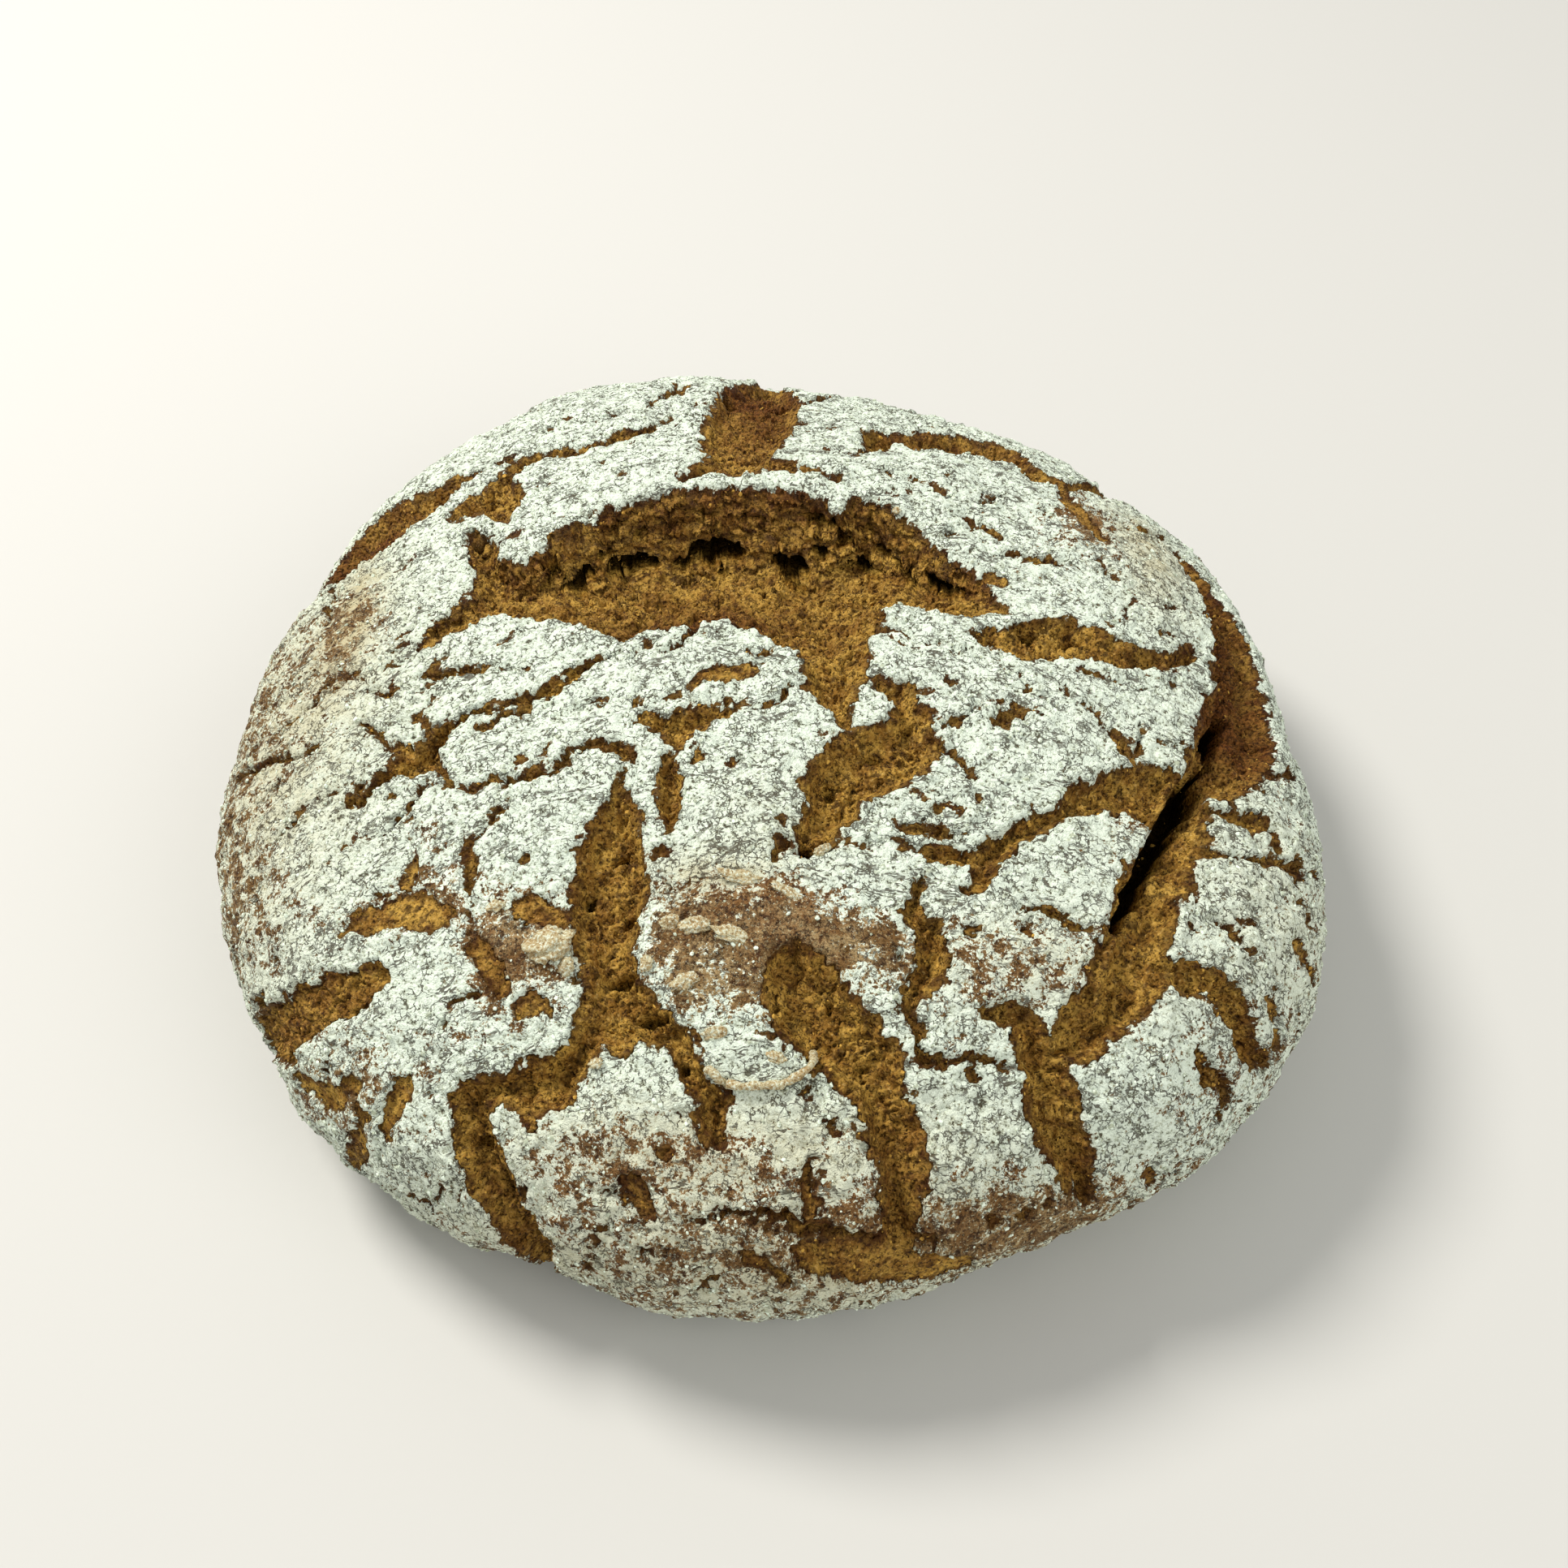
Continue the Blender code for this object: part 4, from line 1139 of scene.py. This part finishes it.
def tone(red, green, blue):
    # a colour as seen on screen, made linear
    def straight(value):
        value /= 255
        return value / 12.92 if value <= 0.04045 else ((value + 0.055) / 1.055) ** 2.4
    return straight(red), straight(green), straight(blue), 1.0


class Nodes:
    def __init__(self, name):
        self.material = bpy.data.materials.new(name)
        self.material.use_nodes = True
        self.tree = self.material.node_tree
        self.shader = self.tree.nodes["Principled BSDF"]
        place = self.tree.nodes.new("ShaderNodeTexCoord")
        scaled = self.tree.nodes.new("ShaderNodeVectorMath")
        scaled.operation = "SCALE"
        scaled.inputs["Scale"].default_value = 1 / mm
        self.link(place.outputs["Object"], scaled.inputs[0])
        self.place = scaled.outputs[0]

    def link(self, source, target):
        self.tree.links.new(source, target)

    def give(self, name, value):
        self.feed(value, self.shader.inputs[name])

    def feed(self, value, target):
        if isinstance(value, bpy.types.NodeSocket):
            self.link(value, target)
        else:
            target.default_value = value

    def field(self, name):
        node = self.tree.nodes.new("ShaderNodeAttribute")
        node.attribute_name = name
        return node.outputs["Fac"]

    def noise(self, size, detail=3.0, rough=0.55, wander=0.0, place=None):
        node = self.tree.nodes.new("ShaderNodeTexNoise")
        node.inputs["Scale"].default_value = 1 / size
        node.inputs["Detail"].default_value = detail
        node.inputs["Roughness"].default_value = rough
        node.inputs["Distortion"].default_value = wander
        self.link(place or self.place, node.inputs["Vector"])
        return node.outputs["Fac"]

    def cells(self, size, feature="F1", place=None):
        node = self.tree.nodes.new("ShaderNodeTexVoronoi")
        node.feature = feature
        node.inputs["Scale"].default_value = 1 / size
        self.link(place or self.place, node.inputs["Vector"])
        return node.outputs["Distance"]

    def maths(self, operation, first, second=0.0, third=0.0):
        node = self.tree.nodes.new("ShaderNodeMath")
        node.operation = operation
        for value, socket in zip((first, second, third), node.inputs):
            self.feed(value, socket)
        return node.outputs[0]

    def times(self, first, second):
        return self.maths("MULTIPLY", first, second)

    def fit(self, value, low, high, newLow=0.0, newHigh=1.0):
        node = self.tree.nodes.new("ShaderNodeMapRange")
        node.interpolation_type = "SMOOTHSTEP"
        for source, name in ((value, "Value"), (low, "From Min"), (high, "From Max"),
                             (newLow, "To Min"), (newHigh, "To Max")):
            self.feed(source, node.inputs[name])
        return node.outputs[0]

    def blend(self, share, first, second):
        node = self.tree.nodes.new("ShaderNodeMix")
        node.data_type = "RGBA"
        self.feed(share, node.inputs["Factor"])
        self.feed(first, node.inputs["A"])
        self.feed(second, node.inputs["B"])
        return node.outputs["Result"]

    def wandering(self, size, reach):
        # the place, pushed about by a noise
        node = self.tree.nodes.new("ShaderNodeTexNoise")
        node.inputs["Scale"].default_value = 1 / size
        node.inputs["Detail"].default_value = 2.0
        self.link(self.place, node.inputs["Vector"])
        push = self.tree.nodes.new("ShaderNodeVectorMath")
        push.operation = "MULTIPLY_ADD"
        self.link(node.outputs["Color"], push.inputs[0])
        push.inputs[1].default_value = (reach, reach, reach)
        self.link(self.place, push.inputs[2])
        return push.outputs[0]

    def arched(self, along):
        # the place in arches over the loaf, drawn out along them
        apart = self.tree.nodes.new("ShaderNodeSeparateXYZ")
        self.link(self.place, apart.inputs[0])
        square = self.times(apart.outputs["X"], apart.outputs["X"])
        together = self.tree.nodes.new("ShaderNodeCombineXYZ")
        self.link(self.times(apart.outputs["X"], along), together.inputs["X"])
        self.link(self.maths("MULTIPLY_ADD", square, 1 / 300, apart.outputs["Y"]), together.inputs["Y"])
        self.link(apart.outputs["Z"], together.inputs["Z"])
        return together.outputs[0]

    def bump(self, height, distance, before=None):
        node = self.tree.nodes.new("ShaderNodeBump")
        node.inputs["Distance"].default_value = distance * mm
        node.inputs["Strength"].default_value = 1.0
        self.feed(height, node.inputs["Height"])
        if before is not None:
            self.link(before, node.inputs["Normal"])
        return node.outputs["Normal"]


breadColours = {
    "flourBright": tone(233, 243, 225),
    "flourGrey": tone(172, 178, 154),
    "flourTan": tone(194, 181, 141),
    "crackShade": tone(62, 46, 26),
    "crumbPale": tone(216, 182, 112),
    "crumbOchre": tone(194, 152, 68),
    "crumbBrown": tone(142, 101, 38),
    # used both for dark bits of crumb and for painted shade deep in the tears
    "crumbDarkAndShade": tone(46, 25, 7),
    "bakedRed": tone(126, 73, 28),
    # used both for the dark baked crust and for painted shade under the lips and ledges
    "bakedDarkAndShade": tone(56, 25, 4),
    # painted shade for the holes and caves
    "holeShade": tone(6, 4, 2),
    "skinPale": tone(176, 150, 104),
    "skinBrown": tone(124, 92, 50),
    "underside": tone(120, 86, 52),
}


# The sizes of what is seen in the crumb, in mm
crumbSizes = {
    "patch": 4.5,
    "fine": 0.8,
    "mottle": 1.9,
    "hard": 7.0,
    "ledgeShade": 1.7,
    "pore": 0.9,
}


def crumbColour(look, baked, holeShadeShare, edge, depth):
    # ochre and brown in patches, redder where it baked hard; painted shade under the crust's lips, along the
    # far wall's ledges and deep in the gape, and painted near-black shade in the holes
    patch = look.noise(crumbSizes["patch"], 4.0, 0.62, 0.3)
    fine = look.noise(crumbSizes["fine"], 4.0, 0.7)
    mottle = look.noise(crumbSizes["mottle"], 3.0, 0.6)
    crumb = look.blend(look.fit(patch, 0.38, 0.62), breadColours["crumbBrown"], breadColours["crumbOchre"])
    crumb = look.blend(look.fit(fine, 0.54, 0.74, 0.0, 0.8), crumb, breadColours["crumbPale"])
    crumb = look.blend(look.fit(mottle, 0.49, 0.36, 0.0, 0.7), crumb, breadColours["crumbDarkAndShade"])
    crumb = look.blend(look.fit(fine, 0.49, 0.36, 0.0, 0.92), crumb, breadColours["crumbDarkAndShade"])
    hard = look.times(baked, look.fit(look.noise(crumbSizes["hard"], 3.0, 0.6), 0.22, 0.48, 0.5, 1.0))
    hardTone = look.blend(look.fit(fine, 0.38, 0.68), breadColours["bakedDarkAndShade"], breadColours["bakedRed"])
    crumb = look.blend(look.times(hard, 0.9), crumb, hardTone)
    # dark streaks drawn out along the far wall: painted shade under its ledges
    drawnOut = look.noise(crumbSizes["ledgeShade"], 3.0, 0.6, 0.0, look.arched(0.25))
    ledgeShade = look.fit(drawnOut, 0.48, 0.38, 0.0, 0.6)
    crumb = look.blend(look.times(ledgeShade, look.field("wallShare")), crumb, breadColours["bakedDarkAndShade"])
    # darker towards the torn edge: partly the crust's own baked rim, partly painted shade under its lip
    crumb = look.blend(look.fit(edge, -1.7, -0.15, 0.0, 0.72), crumb, breadColours["bakedDarkAndShade"])
    # darker where the tear is deepest: painted shade in the recess
    crumb = look.blend(look.fit(depth, 0.75, 1.2, 0.0, 0.35), crumb, breadColours["crumbDarkAndShade"])
    # near black in the pits, caves and the deep rim tear: painted shade
    return look.blend(look.fit(holeShadeShare, 0.25, 0.75, 0.0, 0.92), crumb, breadColours["holeShade"]), fine


def crumbFinish(name="torn_crumb"):
    look = Nodes(name)
    edge, holeShadeShare, baked = look.field("tearEdge"), look.field("holeShadeShare"), look.field("bakedTone")
    crumb, fine = crumbColour(look, baked, holeShadeShare, edge, look.field("tearDepth"))
    look.give("Base Color", crumb)
    look.give("Roughness", 0.65)
    look.give("Specular IOR Level", look.fit(holeShadeShare, 0.1, 0.4, 0.12, 0.0))
    pores = look.cells(crumbSizes["pore"], "F1", look.wandering(0.8, 0.6))
    relief = look.maths("MULTIPLY_ADD", fine, 0.9, look.fit(pores, 0.05, 0.6))
    look.give("Normal", look.bump(relief, 0.55))
    return look.material


# The sizes of what the floured coat is made of, in mm
coatSizes = {
    "speck": 0.55,
    "curd": 1.3,
    "clump": 4.0,
    "edge": 0.9,
    "vein": 2.3,
    "veinGroup": 5.0,
    "seam": 2.7,
    "seamGroup": 3.4,
    "gap": 1.15,
    "gapGroup": 2.4,
    "gapField": 9.0,
    "burnt": 1.5,
    "dusted": 2.0,
}


def crustFinish():
    look = Nodes("floured_crust")
    edge, holeShadeShare, baked = look.field("tearEdge"), look.field("holeShadeShare"), look.field("bakedTone")
    cover, tan, under = look.field("flourCover"), look.field("tanTone"), look.field("under")
    crumb, fine = crumbColour(look, baked, holeShadeShare, edge, look.field("tearDepth"))

    # flour lies on the crust up to the torn edge, thick in places and only as specks in others
    ragged = look.maths("SUBTRACT", look.noise(coatSizes["edge"], 3.0, 0.65), 0.5)
    edgeAt = look.maths("MULTIPLY_ADD", ragged, 1.3, edge)
    onCrust = look.fit(edgeAt, -0.12, 0.06)
    specks = look.noise(coatSizes["speck"], 3.0, 0.72)
    curds = look.noise(coatSizes["curd"], 2.0, 0.6)
    clumps = look.noise(coatSizes["clump"], 4.0, 0.62, 0.4)
    lump = look.maths("MULTIPLY_ADD", specks, 0.5, look.times(curds, 0.3))
    lump = look.maths("MULTIPLY_ADD", clumps, 0.2, lump)
    coverHere = look.maths("MULTIPLY_ADD", look.fit(clumps, 0.3, 0.7, -0.10, 0.06), 1.0, cover)
    covered = look.fit(look.maths("SUBTRACT", lump, look.maths("SUBTRACT", 0.98, coverHere)), 0.0, 0.06)
    flourShare = look.times(onCrust, covered)

    # short dark cracks in the flour coat, drawn out along the arches of the loaf
    streaks = look.noise(coatSizes["vein"], 3.0, 0.62, 0.4, look.arched(0.3))
    veins = look.maths("ABSOLUTE", look.maths("SUBTRACT", streaks, 0.5))
    veinHere = look.fit(look.noise(coatSizes["veinGroup"], 3.0, 0.6, 0.0, look.arched(0.6)), 0.53, 0.60)
    vein = look.times(look.fit(veins, 0.034, 0.014), veinHere)
    seams = look.cells(coatSizes["seam"], "DISTANCE_TO_EDGE", look.wandering(1.1, 2.0))
    seamHere = look.fit(look.noise(coatSizes["seamGroup"], 3.0, 0.65), 0.50, 0.58)
    crease = look.times(look.fit(seams, 0.05, 0.015), seamHere)
    gaps = look.cells(coatSizes["gap"], "DISTANCE_TO_EDGE", look.wandering(0.7, 0.9))
    gapHere = look.times(look.fit(look.noise(coatSizes["gapGroup"], 3.0, 0.7), 0.47, 0.56),
                         look.fit(look.noise(coatSizes["gapField"], 3.0, 0.6), 0.42, 0.56, 0.15, 1.0))
    gap = look.times(look.fit(gaps, 0.10, 0.03), gapHere)
    pinholes = look.fit(look.maths("MULTIPLY_ADD", curds, 0.5, look.times(specks, 0.5)), 0.41, 0.36)
    dark = look.maths("MAXIMUM", look.maths("MAXIMUM", vein, crease), look.maths("MAXIMUM", pinholes, gap))
    powder = look.maths("MULTIPLY_ADD", curds, 0.55, look.times(specks, 0.45))
    flour = look.blend(look.fit(powder, 0.38, 0.51), breadColours["flourGrey"], breadColours["flourBright"])
    tanShare = look.times(tan, look.fit(clumps, 0.3, 0.6, 0.35, 0.9))
    flour = look.blend(tanShare, flour, breadColours["flourTan"])
    flour = look.blend(look.times(dark, 0.85), flour, breadColours["crackShade"])
    skin = look.blend(look.fit(clumps, 0.38, 0.62), breadColours["skinBrown"], breadColours["skinPale"])
    skin = look.blend(look.times(baked, 0.5), skin, breadColours["bakedRed"])
    burnt = look.fit(look.noise(coatSizes["burnt"], 3.0, 0.65), 0.49, 0.38, 0.0, 0.75)
    skin = look.blend(burnt, skin, breadColours["bakedDarkAndShade"])
    skin = look.blend(look.fit(fine, 0.52, 0.36, 0.0, 0.85), skin, breadColours["crumbDarkAndShade"])
    skin = look.blend(look.fit(specks, 0.55, 0.66, 0.0, 0.7), skin, breadColours["flourTan"])
    crust = look.blend(onCrust, crumb, skin)
    surface = look.blend(flourShare, crust, flour)

    # the flat underside: browned, with a little flour baked in
    baseTone = look.blend(look.fit(clumps, 0.35, 0.62), breadColours["underside"], breadColours["bakedDarkAndShade"])
    dusted = look.fit(look.noise(coatSizes["dusted"], 5.0, 0.7), 0.54, 0.64, 0.0, 0.8)
    baseTone = look.blend(dusted, baseTone, breadColours["flourTan"])
    surface = look.blend(look.fit(under, 0.3, 0.7), surface, baseTone)
    look.give("Base Color", surface)
    look.give("Roughness", look.fit(flourShare, 0.0, 1.0, 0.62, 0.95))
    look.give("Specular IOR Level", look.fit(holeShadeShare, 0.15, 0.5, 0.2, 0.0))

    # relief: grains of flour, the step at their edge, and the cracks
    grain = look.times(look.maths("MULTIPLY_ADD", curds, 1.4, specks), flourShare)
    grain = look.maths("MULTIPLY_ADD", flourShare, 0.5, grain)
    grain = look.maths("SUBTRACT", grain, look.times(dark, 0.8))
    bareShare = look.maths("SUBTRACT", 1.0, flourShare)
    first = look.bump(look.times(fine, bareShare), 0.7)
    look.give("Normal", look.bump(grain, 0.6, first))
    return look.material


def scrapFinish():
    look = Nodes("dough_scraps")
    clumps, specks = look.noise(2.4, 4.0, 0.65, 0.4), look.noise(0.5, 3.0, 0.7)
    dough = look.blend(look.fit(clumps, 0.36, 0.6), breadColours["skinPale"], breadColours["flourTan"])
    dough = look.blend(look.fit(specks, 0.50, 0.62, 0.0, 0.7), dough, breadColours["flourBright"])
    dough = look.blend(look.fit(specks, 0.46, 0.36, 0.0, 0.85), dough, breadColours["skinBrown"])
    look.give("Base Color", dough)
    look.give("Roughness", 0.8)
    look.give("Specular IOR Level", 0.25)
    look.give("Normal", look.bump(look.maths("MULTIPLY_ADD", clumps, 1.6, specks), 0.4))
    return look.material


def grainFinish(name, dark, pale, size):
    look = Nodes(name)
    spots = look.noise(size, 2.0, 0.6)
    look.give("Base Color", look.blend(look.fit(spots, 0.38, 0.6), dark, pale))
    look.give("Roughness", 0.85)
    look.give("Specular IOR Level", 0.2)
    look.give("Normal", look.bump(look.noise(0.3, 2.0), 0.1))
    return look.material


def dress(piece, finish):
    piece.data.materials.clear()
    piece.data.materials.append(finish)
    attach(piece, "root")


crustLook, crumbLook = crustFinish(), crumbFinish()
for part in crustParts:
    dress(part, crustLook)
    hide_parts("loaf")
for part in crumbParts:
    dress(part, crumbLook)
dress(flourGrains, grainFinish("flour_grains", breadColours["flourGrey"], breadColours["flourBright"], 0.9))
dress(doughScraps, scrapFinish())
dress(crumbGrains, grainFinish("crumb_grains", breadColours["crumbBrown"], breadColours["crumbOchre"], 1.6))
print("finishes made")


# Floor, light and camera

studio = {
    "floorSide": 4.0,
    "floorColour": tone(198, 196, 191),
    "aim": (0, 0, 0.04),
    "skyColour": (0.97, 0.985, 0.97, 1.0),
    "skyStrength": 0.55,
}
lights = {
    "key": {"place": (-0.75, 0.55, 1.25), "power": 25.5, "size": 0.55, "colour": (1.0, 0.98, 0.94)},
    "fill": {"place": (0.9, -0.9, 0.9), "power": 9.0, "size": 1.2, "colour": (0.99, 1.0, 0.98)},
}


def aimAt(piece, target):
    away = Vector(target) - piece.location
    piece.rotation_euler = away.to_track_quat("-Z", "Y").to_euler()


def addFloor():
    deselectAll()
    bpy.ops.mesh.primitive_plane_add(size=studio["floorSide"], location=(0, 0, 0))
    floor = bpy.context.object
    floor.name = "floor"
    paint = bpy.data.materials.new("pale_floor")
    paint.use_nodes = True
    shader = paint.node_tree.nodes["Principled BSDF"]
    shader.inputs["Base Color"].default_value = studio["floorColour"]
    shader.inputs["Roughness"].default_value = 0.8
    floor.data.materials.append(paint)


def addLight(name, place, power, size, colour):
    light = bpy.data.lights.new(name, "AREA")
    light.energy = power
    light.shape = "DISK"
    light.size = size
    light.color = colour
    lamp = bpy.data.objects.new(name, light)
    bpy.context.scene.collection.objects.link(lamp)
    lamp.location = place
    aimAt(lamp, studio["aim"])


addFloor()
for name, light in lights.items():
    addLight(name, **light)
world = bpy.data.worlds.new("soft_sky")
world.use_nodes = True
sky = world.node_tree.nodes["Background"]
sky.inputs["Color"].default_value = studio["skyColour"]
sky.inputs["Strength"].default_value = studio["skyStrength"]
bpy.context.scene.world = world
bpy.context.scene.view_settings.view_transform = "Standard"

camera = {
    "place": (0.005, -0.2847, 0.3427),
    "pitch": 48.2,
    "roll": -2.6,
    "lens": 44.5,
}
lensData = bpy.data.cameras.new("camera")
lensData.sensor_width = 36.0
lensData.lens = camera["lens"]
eye = bpy.data.objects.new("camera", lensData)
bpy.context.scene.collection.objects.link(eye)
eye.location = camera["place"]
tilt = Euler((radians(90 - camera["pitch"]), 0, 0)).to_matrix()
turn = Euler((0, 0, radians(camera["roll"]))).to_matrix()
eye.rotation_euler = (tilt @ turn).to_euler()
bpy.context.scene.camera = eye
